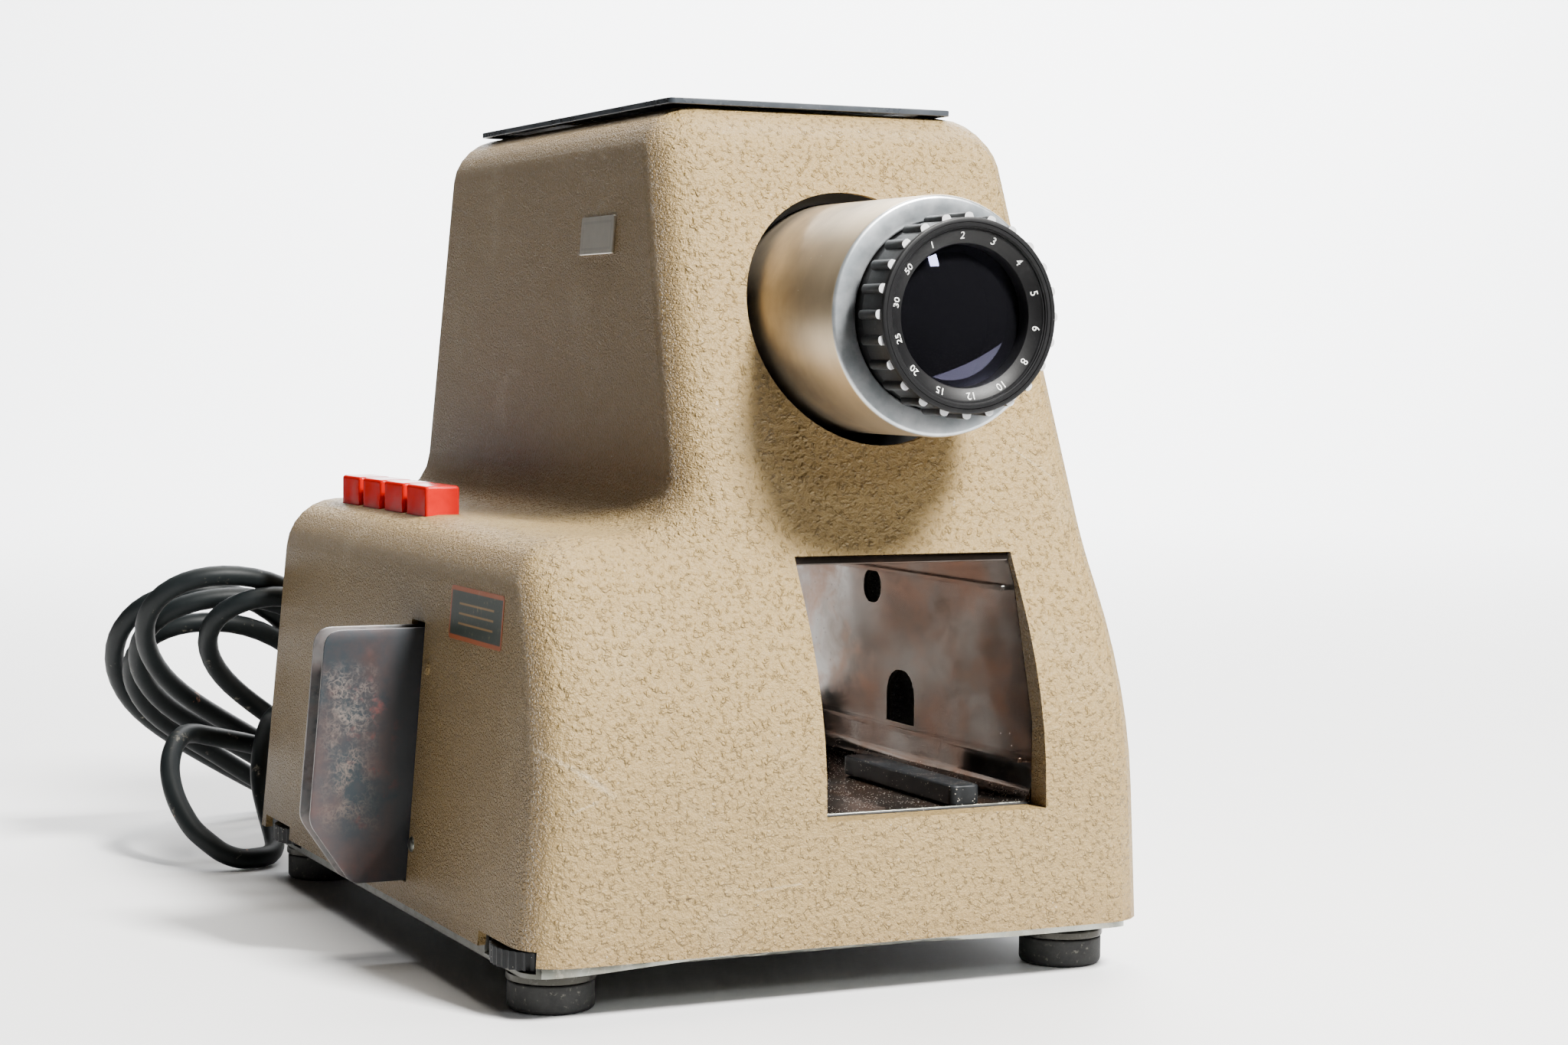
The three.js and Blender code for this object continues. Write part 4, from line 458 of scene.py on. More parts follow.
def galvanised():
    look = {"base": (0.2, 0.21, 0.18), "bright": (0.3, 0.31, 0.28), "crust": (0.6, 0.58, 0.5),
            "brown": (0.22, 0.18, 0.12), "grimy": (0.02, 0.018, 0.015), "leftEnd": 6, "above": 0.4,
            "below": 0.2, "fade": 5000}
    f = Finish("galvanised_sheet", "galvanised", look, metallic=0.85)
    spangle = f.cells(6, f.wobbled(5, 3))
    crust = f.blotch(2.6, 0.52, 0.62, 6, 0.7)
    old = f.blotch(12, 0.55, 0.72, 5)
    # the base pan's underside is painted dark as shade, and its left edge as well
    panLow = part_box("base_pan")[0].z
    under = ((panLow + look["above"] / perMetre - f.parts[2]) * look["fade"]).clipped()
    leftEdgeShade = f.facingLeft(0.4) * f.parts[2].above(panLow - look["below"] / perMetre)
    darkened = under.most(leftEdgeShade * f.parts[0].below(place(look["leftEnd"], 0, 0).x) * 0.85)
    tone = f.layered("base", (spangle * 1.4, "bright"), (crust * 0.55, "crust"),
                     (old * 0.5, "brown"), (darkened * 0.93, "grimy"))
    f.paint(color=tone, roughness=0.34 + crust * 0.3 + old * 0.15, metallic=0.88 - crust * 0.6)
    f.bump(crust + f.noise(0.8, 3) * 0.4, 0.2, 0.1)
    return f


def mouldedRubber():
    look = {"base": (0.011, 0.011, 0.011), "grey": (0.04, 0.04, 0.038), "dust": (0.18, 0.165, 0.14)}
    f = Finish("moulded_rubber", "rubber", look, specular=0.35)
    grain = f.noise(0.45, 3, 0.65)
    tone = f.layered("base", (f.blotch(7, 0.4, 0.7, 5, 0.66) * 0.5, "grey"),
                     (f.blotch(1.6, 0.6, 0.72, 4, 0.7) * 0.45, "dust"))
    f.paint(color=tone, roughness=0.6 + grain * 0.2)
    f.bump(grain, 0.3, 0.08)
    return f


def leadRubber():
    # the lead's rubber: greenish black with a soft shine, and worn and chalky patches
    look = {"base": (0.004, 0.0056, 0.0062), "grey": (0.01, 0.0125, 0.013), "chalk": (0.22, 0.2, 0.16),
            "rust": (0.3, 0.13, 0.07)}
    f = Finish("lead_rubber", "rubber", look, specular=0.14)
    grain = f.noise(0.9, 3, 0.6)
    scuffs = f.blotch(7, 0.63, 0.72, 5, 0.7) * f.blotch(1.4, 0.42, 0.6, 3)
    spots = f.blotch(11, 0.68, 0.74, 4, 0.7) * f.blotch(2, 0.5, 0.6)
    tone = f.layered("base", (f.blotch(24, 0.38, 0.68, 5, 0.6) * 0.6, "grey"),
                     (scuffs * 0.7, "chalk"), (spots * 0.6, "rust"))
    f.paint(color=tone, roughness=0.44 + grain * 0.12 + scuffs * 0.3)
    f.bump(grain + scuffs * 0.4, 0.14, 0.1)
    return f


def windingWrap():
    look = {"wire": (0.33, 0.13, 0.05), "shine": (0.55, 0.27, 0.12), "scorched": (0.12, 0.06, 0.03)}
    f = Finish("winding_wrap", "copper", look, coat=0.4, coatRoughness=0.25)
    turns = f.bands("Z", 330.0, 0.4)
    cloud = f.blotch(10, 0.4, 0.7)
    tone = f.layered("wire", (turns * 0.6, "shine"), (cloud * 0.4, "scorched"))
    f.paint(color=tone, roughness=0.4 + cloud * 0.2)
    f.bump(turns, 0.3, 0.15)
    return f


def laminatedSteel():
    look = {"dark": (0.05, 0.05, 0.055), "sheet": (0.12, 0.12, 0.125), "rust": (0.16, 0.08, 0.04)}
    f = Finish("laminated_steel", "core_steel", look, metallic=0.6)
    sheets = f.bands("Y", 300.0, 0.2)
    cloud = f.blotch(9, 0.42, 0.7, 5)
    tone = f.layered("dark", (sheets * 0.4, "sheet"), (cloud * 0.4, "rust"))
    f.paint(color=tone, roughness=0.5 + cloud * 0.2)
    f.bump(sheets, 0.2, 0.1)
    return f


def platePrint():
    # a bare silvery plate with a faint engraved border
    look = {"silver": (0.82, 0.78, 0.7), "dull": (0.56, 0.53, 0.46), "border": (0.3, 0.28, 0.25),
            "outer": ((-whole, 91.2, 192.8), (whole, 113.3, 201)),
            "inner": ((-whole, 91.9, 193.5), (whole, 112.6, 200.3))}
    f = Finish("etched_plate", "aluminium", look, metallic=0.9)
    brushed = f.noise(0.4, 3, 0.6, f.stretched(1, 1, 0.04))
    border = f.inBox(*look["outer"], 0.15) - f.inBox(*look["inner"], 0.15)
    tone = f.layered("silver", (brushed * 0.4 + f.blotch(4, 0.45, 0.75, 4) * 0.2, "dull"),
                     (border * 0.2, "border"))
    f.paint(color=tone, roughness=0.32 + brushed * 0.1)
    f.bump(1 - border, 0.2, 0.05)
    return f


def stickerPrint():
    # dark green paper with an orange border and plain orange rules at heights in mm
    look = {"green": (0.012, 0.019, 0.015), "orange": (0.2, 0.048, 0.013), "rule": (0.19, 0.105, 0.034),
            "worn": (0.3, 0.24, 0.15), "fibre": (0.08, 0.08, 0.06), "rules": (98.4, 95.8, 93.2),
            "field": ((-whole, 35.8, 89.9), (whole, 75.2, 101.7))}
    f = Finish("printed_label", "paint", look, coat=0.08, coatRoughness=0.3, specular=0.25)
    fibre = f.noise(0.5, 4, 0.7)
    field = f.inBox(*look["field"], 0.2)
    first, second, third = (f.inBox((-whole, 42, z - 0.35), (whole, 69, z + 0.35), 0.15) for z in look["rules"])
    tone = f.layered(f.mix(field, "orange", "green"),
                     (first.most(second).most(third) * 0.8, "rule"),
                     (f.blotch(2.2, 0.6, 0.7, 5, 0.7) * 0.3, "worn"), (fibre * 0.1, "fibre"))
    f.paint(color=tone, roughness=0.4 + fibre * 0.15)
    f.bump(fibre, 0.1, 0.05)
    return f


def bareEnds():
    look = {"bright": (0.9, 0.9, 0.9), "dull": (0.74, 0.74, 0.76)}
    f = Finish("bare_metal_ends", "aluminium", look, metallic=0.7)
    grain = f.noise(0.4, 3, 0.6)
    f.paint(color=f.mix(grain, "bright", "dull"), roughness=0.34 + grain * 0.2)
    return f


def darkInside():
    look = {"black": (0.008, 0.008, 0.008), "soot": (0.03, 0.028, 0.025), "dust": (0.3, 0.28, 0.25)}
    f = Finish("sooty_black", "black_metal", look, specular=0.25)
    cloud = f.blotch(8, 0.4, 0.7, 5)
    tone = f.layered("black", (cloud * 0.6, "soot"), (f.specks(1.8, 0.12, 0.48) * 0.4, "dust"))
    f.paint(color=tone, roughness=0.55 + cloud * 0.2)
    return f


def clouded(name, slot, shades, cloud, share, rough, bump=(), **constants):
    # one shade clouded by another; the roughness rises under the clouds from its first value by its second
    f = Finish(name, slot, {}, **constants)
    mask = f.blotch(*cloud)
    f.paint(color=f.mix(mask * share, *shades), roughness=rough[0] + mask * rough[1])
    if bump:
        f.bump(f.noise(0.6, 3), *bump)
    return f


looks = {
    "paint": casingPaint(), "lid": lidEnamel(), "aluminium": satinAluminium(), "black": blackAnodised(),
    "coated": coatedGlass(), "nickel": agedNickel(), "bakelite": blackBakelite(),
    "red": redPlastic(), "steel": oxidisedSteel(), "zinc": galvanised(), "rubber": mouldedRubber(),
    "lead": leadRubber(), "winding": windingWrap(), "core": laminatedSteel(),
    "plate": platePrint(), "label": stickerPrint(),
    "soot": darkInside(), "bare": bareEnds(),
    "glass": clouded("clear_glass", "clear_glass", ((0.93, 0.96, 0.95), (0.7, 0.68, 0.62)), (7, 0.45, 0.75, 4),
                     0.3, (0.02, 0.12), transmission=1.0, ior=1.5),
    "brass": clouded("worn_brass", "galvanised", ((0.52, 0.42, 0.2), (0.2, 0.15, 0.07)), (3, 0.4, 0.66, 5, 0.65),
                     1, (0.3, 0.25), (0.15, 0.05), metallic=0.9),
    "ceramic": clouded("bare_ceramic", "ceramic", ((0.78, 0.74, 0.66), (0.45, 0.36, 0.24)), (8, 0.4, 0.75, 5),
                       0.5, (0.6, 0.2), (0.2, 0.08)),
    "silver": clouded("silvered_bowl", "mirror_metal", ((0.9, 0.9, 0.9), (0.6, 0.56, 0.48)), (12, 0.45, 0.75, 5),
                      0.5, (0.05, 0.2), metallic=1.0),
    "white": clouded("engraved_white", "aluminium", ((0.72, 0.72, 0.7), (0.3, 0.3, 0.3)), (0.8, 0.5, 0.7, 4),
                     0.6, (0.5, 0.2)),
}
print("finishes made:", len(looks))

# every node takes a finish, zinc where none is named, and the seen ones are then dressed with finer pieces

wornBy = {
    "paint": ("housing", "rear_panel"), "lid": ("top_lid",), "nickel": ("magazine_tunnel",),
    "bakelite": ("magazine_guide_bar", "switch_bank", "mains_plug", "height_wheel"),
    "aluminium": ("lens_sleeve", "gate_pressure_plate", "blower_impeller"), "steel": ("slide_changer",),
    "soot": ("lens_mount", "lens_guide_tube", "slide_gate", "condenser_barrel"),
    "black": ("lens_cell", "focus_ring", "lens_retaining_ring"),
    "coated": ("front_lens", "middle_lens", "rear_lens"),
    "glass": ("condenser_front_lens", "heat_glass", "condenser_rear_lens", "lamp_bulb"),
    "ceramic": ("lamp_socket",), "silver": ("lamp_mirror",), "winding": ("transformer_coil",),
    "core": ("blower_shaft", "blower_motor", "transformer_core"), "red": ("push",),
    "lead": ("mains_lead", "mains_coil", "mains_tail"), "rubber": ("lead_strain_relief", "foot_rubber"),
}


def wear(piece, look):
    piece.data.materials.clear()
    piece.data.materials.append(looks[look].material)


for nodeName, node in nodes.items():
    matching = (look for look, starts in wornBy.items() if nodeName.startswith(starts))
    wear(node, next(matching, "zinc"))


def settle(piece, look, body, stands=()):
    piece.data.name = piece.name
    wear(piece, look)
    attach(piece, body)
    if stands:
        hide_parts(*stands)
    return piece


def addPiece(name, mesh, look, body, stands=()):
    return settle(linked(name, mesh), look, body, stands)


def meshFrom(form):
    mesh = bpy.data.meshes.new("form")
    form.to_mesh(mesh)
    form.free()
    return mesh


def bridge(form, low, high):
    # a band of faces between two rings, either of which may be a single point
    count = max(len(low), len(high))
    for k in range(count):
        n = (k + 1) % count
        corners = (low[k % len(low)], low[n % len(low)], high[n % len(high)], high[k % len(high)])
        form.faces.new(list(dict.fromkeys(corners)))


def skinned(rings, ends="points"):
    # a closed mesh over rings of points, whose ends are points, capped or joined
    form = bmesh.new()
    rings = [[form.verts.new(point) for point in ring] for ring in rings]
    if ends == "joined":
        rings.append(rings[0])
    for low, high in zip(rings, rings[1:]):
        bridge(form, low, high)
    if ends == "capped":
        form.faces.new(rings[0])
        form.faces.new(rings[-1])
    bmesh.ops.recalc_face_normals(form, faces=form.faces)
    return meshFrom(form)


def smoothMesh(mesh, angle=35):
    mesh.shade_smooth()
    mesh.set_sharp_from_angle(angle=math.radians(angle))


def bakeModifiers(piece):
    bpy.context.view_layer.update()
    evaluated = piece.evaluated_get(bpy.context.evaluated_depsgraph_get())
    baked = bpy.data.meshes.new_from_object(evaluated)
    old = piece.data
    piece.modifiers.clear()
    piece.data = baked
    bpy.data.meshes.remove(old)


def roundEdges(piece, width, segments=3, angle=30):
    # width in mm
    bevel = piece.modifiers.new("edges", "BEVEL")
    bevel.width = width / perMetre
    bevel.segments = segments
    bevel.limit_method = "ANGLE"
    bevel.angle_limit = math.radians(angle)
    bakeModifiers(piece)


weld = {"distance": 0.00002, "flatAngle": 0.6, "normalWeight": 80}


def dressed(nodeName, pieceName, look, body, edge, segments=3, angle=35, smooth=40):
    # the node's own form, welded, with its flat faces whole and its edges rounded
    mesh = nodes[nodeName].data.copy()
    form = bmesh.new()
    form.from_mesh(mesh)
    bmesh.ops.remove_doubles(form, verts=form.verts, dist=weld["distance"])
    bmesh.ops.dissolve_limit(form, angle_limit=math.radians(weld["flatAngle"]), verts=form.verts,
                             edges=form.edges)
    form.to_mesh(mesh)
    form.free()
    piece = addPiece(pieceName, mesh, look, body, (nodeName,))
    if edge:
        roundEdges(piece, edge, segments, angle)
    smoothMesh(piece.data, smooth)
    weigh = piece.modifiers.new("flatness", "WEIGHTED_NORMAL")
    weigh.keep_sharp = True
    weigh.weight = weld["normalWeight"]
    bakeModifiers(piece)
    return piece


def polar(radius, angle):
    return radius * math.cos(angle), radius * math.sin(angle)


def axisPoint(u, v, height, centre, axis="y"):
    if axis == "y":
        return place(centre[0] + u, centre[1] + height, centre[2] + v)
    return place(centre[0] + height, centre[1] + u, centre[2] + v)


def turnedMesh(profile, centre, sides, axis="y"):
    # a profile of (radius, height) in mm turned about an axis through centre, closed on itself or on the axis
    rings = []
    for radius, height in profile:
        angles = [2 * math.pi * k / sides for k in range(sides)] if radius > 0 else [0]
        rings.append([axisPoint(*polar(radius, angle), height, centre, axis) for angle in angles])
    mesh = skinned(rings, "joined" if profile[0][0] > 0 else "points")
    smoothMesh(mesh)
    return mesh


# mains lead: one tube from the strain relief through the leaning coil to the plug
# a loop has its length, width, middle across, middle up and tilt

lead = {"diameter": 6.4, "pitch": 7.2, "lean": 42, "topY": 240.5, "topZ": 95, "firstTurn": -0.76,
        "lastTurn": 4.4, "sag": 13, "sagStart": 2, "sagEnd": 70, "spread": 0.4, "easeShare": 0.1,
        "pointsPerTurn": 48, "smoothings": 2, "bevelSteps": 6}
loops = [(47, 26, 8, -56, 16), (50, 27, 32, -46, 32), (45, 28, 7, -39, 42), (49, 31, 15, -51, 33),
         (46, 27, 12, -62, 38), (50, 32, 8, -56, 50), (52, 26, 16, -54, 38)]
leadPoints = [
    (14, 265, 46), (13.9, 270, 46), (13.2, 275, 44.6), (12, 278.5, 41), (10.8, 279.8, 36), (9.8, 279.5, 31),
    (9, 277.8, 25.5), (8.7, 274.8, 20.4), (8.8, 270.5, 15.6), (8.8, 265, 11), (8.4, 259, 7.4),
    (7.1, 253.2, 4.9), (3.8, 247.8, 3.5), (-1.1, 244.4, 3.4), (-6.6, 243.4, 3.7), (-11.6, 244.6, 5.5),
    (-15.8, 247.2, 8.8), (-19.7, 250.2, 12.7), (-22, 254, 17.1), (-23.4, 258, 21.5), (-23.9, 262, 25.9),
    (-23.4, 266.5, 30.2), (-21.6, 271.5, 34.2), (-18.8, 276.5, 37.3), (-15.2, 281, 38.9), (-11, 283.8, 38.8),
    (-7, 284.8, 37.8),
]
tailPoints = [
    (36.1, 357.4, 6.3), (41.7, 358.9, 4.1), (49, 359, 3.4), (58, 357, 3.4), (70, 352.4, 3.4), (80, 347.4, 4.2),
    (89, 342.1, 6.8), (97.5, 336.7, 10.4), (105, 331.9, 12.7), (111.9, 327.3, 13),
]


def smoothStep(value, start, end):
    share = min(max((value - start) / (end - start), 0), 1)
    return share * share * (3 - 2 * share)


def coilPoint(turns):
    count = math.floor(turns + 1)
    share = smoothStep(turns + 1 - count, lead["easeShare"], 1 - lead["easeShare"])
    length, width, x, up, tilt = (a + (b - a) * share for a, b in zip(loops[count], loops[count + 1]))
    angle = math.pi + 2 * math.pi * turns
    tilt, lean = math.radians(tilt), math.radians(lead["lean"])
    grown = 1 + lead["spread"] * max(math.cos(angle), 0) ** 2
    m, n = grown * length * math.cos(angle), grown * width * math.sin(angle)
    across = x + m * math.cos(tilt) + n * math.sin(tilt)
    along = up - m * math.sin(tilt) + n * math.cos(tilt)
    sag = lead["sag"] * smoothStep(across, lead["sagStart"], lead["sagEnd"])
    depth = lead["topY"] + turns * lead["pitch"] / math.cos(lean) - along * math.sin(lean)
    return Vector((across, depth, lead["topZ"] + along * math.cos(lean) - sag))


def smoothLine(points, steps=8):
    # a centripetal curve through given points
    points = [Vector(p) for p in points]
    ends = [points[0] * 2 - points[1], *points, points[-1] * 2 - points[-2]]
    line = []
    for a, b, c, d in zip(ends, ends[1:], ends[2:], ends[3:]):
        t1 = (b - a).length ** 0.5
        t2 = t1 + (c - b).length ** 0.5
        t3 = t2 + (d - c).length ** 0.5
        for k in range(steps):
            t = t1 + (t2 - t1) * k / steps
            ab = a.lerp(b, t / t1)
            bc = b.lerp(c, (t - t1) / (t2 - t1))
            cd = c.lerp(d, (t - t2) / (t3 - t2))
            abc = ab.lerp(bc, t / t2)
            bcd = bc.lerp(cd, (t - t1) / (t3 - t1))
            line.append(abc.lerp(bcd, (t - t1) / (t2 - t1)))
    return [*line, points[-1]]


def leadLine():
    span = lead["lastTurn"] - lead["firstTurn"]
    count = round(span * lead["pointsPerTurn"])
    coil = [coilPoint(lead["firstTurn"] + span * k / count) for k in range(count + 1)]
    line = smoothLine(leadPoints) + coil + smoothLine(tailPoints)
    for _ in range(lead["smoothings"]):
        line = [line[0], *((a + b * 2 + c) / 4 for a, b, c in zip(line, line[1:], line[2:])), line[-1]]
    return line


def buildLead():
    line = leadLine()
    data = bpy.data.curves.new("mains_lead_tube", "CURVE")
    data.dimensions = "3D"
    data.bevel_depth = lead["diameter"] / 2 / perMetre
    data.bevel_resolution = lead["bevelSteps"]
    data.use_fill_caps = True
    spline = data.splines.new("POLY")
    spline.points.add(len(line) - 1)
    for point, p in zip(spline.points, line):
        point.co = (*place(*p), 1)
    spline.use_smooth = True
    tube = addPiece("mains_lead_tube", data, "lead", "casing", ("mains_lead", "mains_coil", "mains_tail"))
    length = sum((b - a).length for a, b in zip(line, line[1:])) / perMetre
    print("lead length, m:", round(length, 3))
    return tube, line, length


plug = {"x": 112.2, "y": 327.1, "turn": -33.7, "neckLength": 12, "collarRadius": 8, "bodyRadius": 13,
        "bodyLength": 30, "pinRadius": 2.4, "pinLength": 19, "pinSpacing": 19, "brassFrom": 47.1}


def plugMesh():
    # a moulded plug with a ribbed neck, a grip groove round the body and two pins
    start = plug["neckLength"] + plug["bodyRadius"] - plug["collarRadius"]
    face = start + plug["bodyLength"]
    profile = [(0, 0), (3.9, 0), (4.4, 0.5)]
    for k in range(4):
        along = 1.4 + k * 2.5
        swell = 4.5 + k * 0.8
        profile += [(swell, along), (swell, along + 1.3), (swell - 0.8, along + 1.6), (swell - 0.8, along + 2.2)]
    profile += [(8, 12), (9.6, 13), (11.8, 15.3), (12.7, 17.2), (13, 19), (13, 27), (12.4, 27.6), (12.4, 29.4),
                (13, 30), (13, face - 1.6), (12.5, face - 0.5), (11.6, face), (0, face)]
    pin, tip = plug["pinRadius"], face + plug["pinLength"]
    pinProfile = [(0, face - 1), (pin, face - 1), (pin, tip - 1.2), (pin - 0.5, tip - 0.3), (1.1, tip), (0, tip)]
    form = bmesh.new()
    form.from_mesh(turnedMesh(profile, (0, 0, 0), 40, "x"))
    for side in (-1, 1):
        form.from_mesh(turnedMesh(pinProfile, (0, side * plug["pinSpacing"] / 2, 0), 20, "x"))
    shift = Matrix.Translation(-place(0, 0, 0))
    turn = Matrix.Rotation(math.radians(plug["turn"]), 4, "Z")
    put = Matrix.Translation(place(plug["x"], plug["y"], plug["bodyRadius"]))
    bmesh.ops.transform(form, matrix=put @ turn @ shift, verts=form.verts)
    mesh = meshFrom(form)
    smoothMesh(mesh, 30)
    return mesh


def paintPins(piece):
    piece.data.materials.append(looks["brass"].material)
    heading = Vector((*polar(1, math.radians(plug["turn"])), 0))
    base = place(plug["x"], plug["y"], plug["bodyRadius"])
    for face in piece.data.polygons:
        if (face.center - base).dot(heading) > plug["brassFrom"] / perMetre:
            face.material_index = 1


relief = {"x": 14, "z": 46, "base": 242.7, "rings": 5, "pitch": 3.6}


def reliefMesh():
    # a rubber sleeve that tapers in rings towards the lead
    base = relief["base"]
    profile = [(0, base - 4), (5.8, base - 4), (5.8, base), (6.6, base), (7, base + 0.5), (7, base + 1.6),
               (6.5, base + 2.1), (6, base + 2.3)]
    for k in range(relief["rings"]):
        along = base + 3.4 + k * relief["pitch"]
        swell = 5.7 - k * 0.24
        profile += [(swell - 0.9, along), (swell - 0.9, along + 0.9), (swell, along + 1.3), (swell, along + 2.7)]
    profile += [(4.3, base + 21.4), (3.9, base + 21.95), (0, base + 21.95)]
    return turnedMesh(profile, (relief["x"], 0, relief["z"]), 36)


tube, line, leadLength = buildLead()
addPiece("lead_sleeve", reliefMesh(), "rubber", "casing", ("lead_strain_relief",))
plugPiece = addPiece("lead_plug", plugMesh(), "bakelite", "casing", ("mains_plug",))
paintPins(plugPiece)
print("lead laid")

# stage: a white sweep and soft studio light, in metres

studio = {"left": -1.15, "right": 1.5, "front": -0.36, "sweepAt": 2.0, "sweepRadius": 1.2, "height": 4.0,
          "steps": 12, "paper": ((0.63, 0.635, 0.64), (0.65, 0.65, 0.655)),
          "world": (1.0, 0.93, 0.84, 1), "worldStrength": 0.03}
# where each light stands, what it is aimed at, its size, power and tint
lights = {
    "key": ((0.37, -1.05, 1.29), (0.02, 0, 0.1), (0.31, 0.31), 152, (1.0, 0.985, 0.95)),
    "top": ((0.22, 0.25, 1.9), (0.1, 0.05, 0.0), (0.8, 0.8), 36, (1.0, 0.95, 0.87)),
    "back": ((0.95, 1.6, 2.1), (1.25, 2.9, 0.5), (3.0, 1.2), 500, (0.98, 0.99, 1.0)),
    "window": ((0.4, -1.32, 0.75), (0.0, -0.1, 0.17), (0.1, 0.14), 5, (0.9, 0.95, 1.0)),
}


def buildStage():
    form = bmesh.new()
    radius, steps = studio["sweepRadius"], studio["steps"]
    profile = [(studio["front"], 0.0), (studio["sweepAt"], 0.0)]
    for k in range(1, steps + 1):
        angle = math.pi / 2 * k / steps
        profile.append((studio["sweepAt"] + radius * math.sin(angle), radius * (1 - math.cos(angle))))
    profile.append((studio["sweepAt"] + radius, studio["height"]))
    rows = [[form.verts.new((x, y, z)) for x in (studio["left"], studio["right"])] for y, z in profile]
    for low, high in zip(rows, rows[1:]):
        form.faces.new((low[0], low[1], high[1], high[0]))
    bmesh.ops.transform(form, matrix=Matrix.Rotation(-view["yaw"], 4, "Z"), verts=form.verts)
    mesh = meshFrom(form)
    mesh.shade_smooth()
    sweep = linked("studio_sweep", mesh)
    f = Finish("white_paper", "paint", studio)
    f.paint(color=f.mix(f.noise(400, 2), *studio["paper"]), roughness=0.55 + f.noise(30, 2) * 0.1)
    mesh.materials.append(f.material)


def addLight(name, at, target, size, power, tint):
    data = bpy.data.lights.new(name, "AREA")
    data.shape = "RECTANGLE"
    data.size, data.size_y = size
    data.energy = power
    data.color = tint
    light = linked(name, data)
    light.location = at
    light.rotation_euler = (Vector(target) - Vector(at)).to_track_quat("-Z", "Y").to_euler()


def buildLights():
    for name, light in lights.items():
        addLight(name, *light)
    world = bpy.data.worlds.new("studio")
    bpy.context.scene.world = world
    world.use_nodes = True
    background = world.node_tree.nodes["Background"]
    background.inputs["Color"].default_value = studio["world"]
    background.inputs["Strength"].default_value = studio["worldStrength"]


buildStage()
buildLights()
print("stage set")

# casing

shell = {"edge": 0.9, "panEdge": 0.35, "settleFrom": 206.0, "settle": 1.5, "lidHeight": 1.7, "lidGap": 0.1}


def settleTop(piece):
    # the roof sits a little lower than the drawing's, as the photograph has it
    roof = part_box("housing")[1].z
    for vertex in piece.data.vertices:
        share = smoothStep(vertex.co.z, shell["settleFrom"] / perMetre, roof)
        vertex.co.z -= shell["settle"] / perMetre * share


def thinLid(piece):
    low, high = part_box("top_lid")
    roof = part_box("housing")[1].z - (shell["settle"] - shell["lidGap"]) / perMetre
    for vertex in piece.data.vertices:
        vertex.co.z = roof + (vertex.co.z - low.z) / (high.z - low.z) * shell["lidHeight"] / perMetre


# how far the pan's front lip is bent up, in mm, at places along it
lip = {"reach": 14, "full": 1.2,
       "lifts": ((0, 0.8), (6, 1.0), (20, 1.5), (32, 2.2), (44, 2.9), (52, 3.3), (66, 3.5), (100, 3.5),
                 (116, 3.3), (124, 2.2), (136, 1.9), (150, 1.9))}


def liftAt(x):
    for (x0, low), (x1, high) in zip(lip["lifts"], lip["lifts"][1:]):
        if x0 <= x <= x1:
            return low + (high - low) * (x - x0) / (x1 - x0)
    return lip["lifts"][-1][1]


def liftLip(piece):
    form = bmesh.new()
    form.from_mesh(piece.data)
    cuts = [(place(x, 0, 0), (1, 0, 0)) for x, _ in lip["lifts"][1:-1]]
    for at, normal in [*cuts, (place(0, lip["reach"], 0), (0, 1, 0))]:
        parts = [*form.verts, *form.edges, *form.faces]
        bmesh.ops.bisect_plane(form, geom=parts, plane_co=at, plane_no=normal)
    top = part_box("base_pan")[1].z
    for vertex in form.verts:
        x, y = vertex.co.x * perMetre + drawing["x"], vertex.co.y * perMetre + drawing["y"]
        if y < lip["reach"] - 0.01:
            share = min((1 - max(y, 0) / lip["reach"]) * lip["full"], 1)
            vertex.co.z = min(vertex.co.z + liftAt(x) * share / perMetre, max(top, vertex.co.z))
    form.to_mesh(piece.data)
    form.free()


settleTop(dressed("housing", "casing_shell", "paint", "casing", shell["edge"], 3, 38, 32))
settleTop(dressed("rear_panel", "rear_panel_sheet", "paint", "casing", 0, smooth=32))
liftLip(dressed("base_pan", "base_pan_sheet", "zinc", "casing", shell["panEdge"], 2))
thinLid(dressed("top_lid", "lid_sheet", "lid", "lid", 0.7, 4))
print("casing dressed")

# lens

lensCentre = (112.1, 0, 174.4)


def buildSleeve():
    profile = [(24.4, 1.5), (24.7, 1.15), (25, 1.05), (29.9, 1.0), (30.3, 1.1), (30.75, 1.45), (31, 2.0),
               (31, 78), (29.4, 78), (29.4, 4.2), (24.4, 4.2)]
    addPiece("lens_sleeve_tube", turnedMesh(profile, lensCentre, 160), "aluminium", "casing", ("lens_sleeve",))


gripRing = {"count": 24, "base": 24.7, "top": 26, "width": 2.6, "front": -14.4, "rear": -3.0,
            "ridgeFront": -13.2, "bore": 23.5, "seat": 24.3, "steps": 10, "chamfer": 0.35, "fullness": 0.8}


def gripOutline():
    # angles round the ring with the height of the ridges there, from none to 1
    outline = []
    step = 2 * math.pi / gripRing["count"]
    half = gripRing["width"] / gripRing["base"] / 2
    for i in range(gripRing["count"]):
        middle = i * step
        for k in range(gripRing["steps"] + 1):
            across = -1 + 2 * k / gripRing["steps"]
            height = math.sqrt(max(1 - across * across, 0)) ** gripRing["fullness"]
            outline.append((middle + half * across, height))
        for k in range(1, 4):
            outline.append((middle + half + (step - 2 * half) * k / 4, 0.0))
    return outline


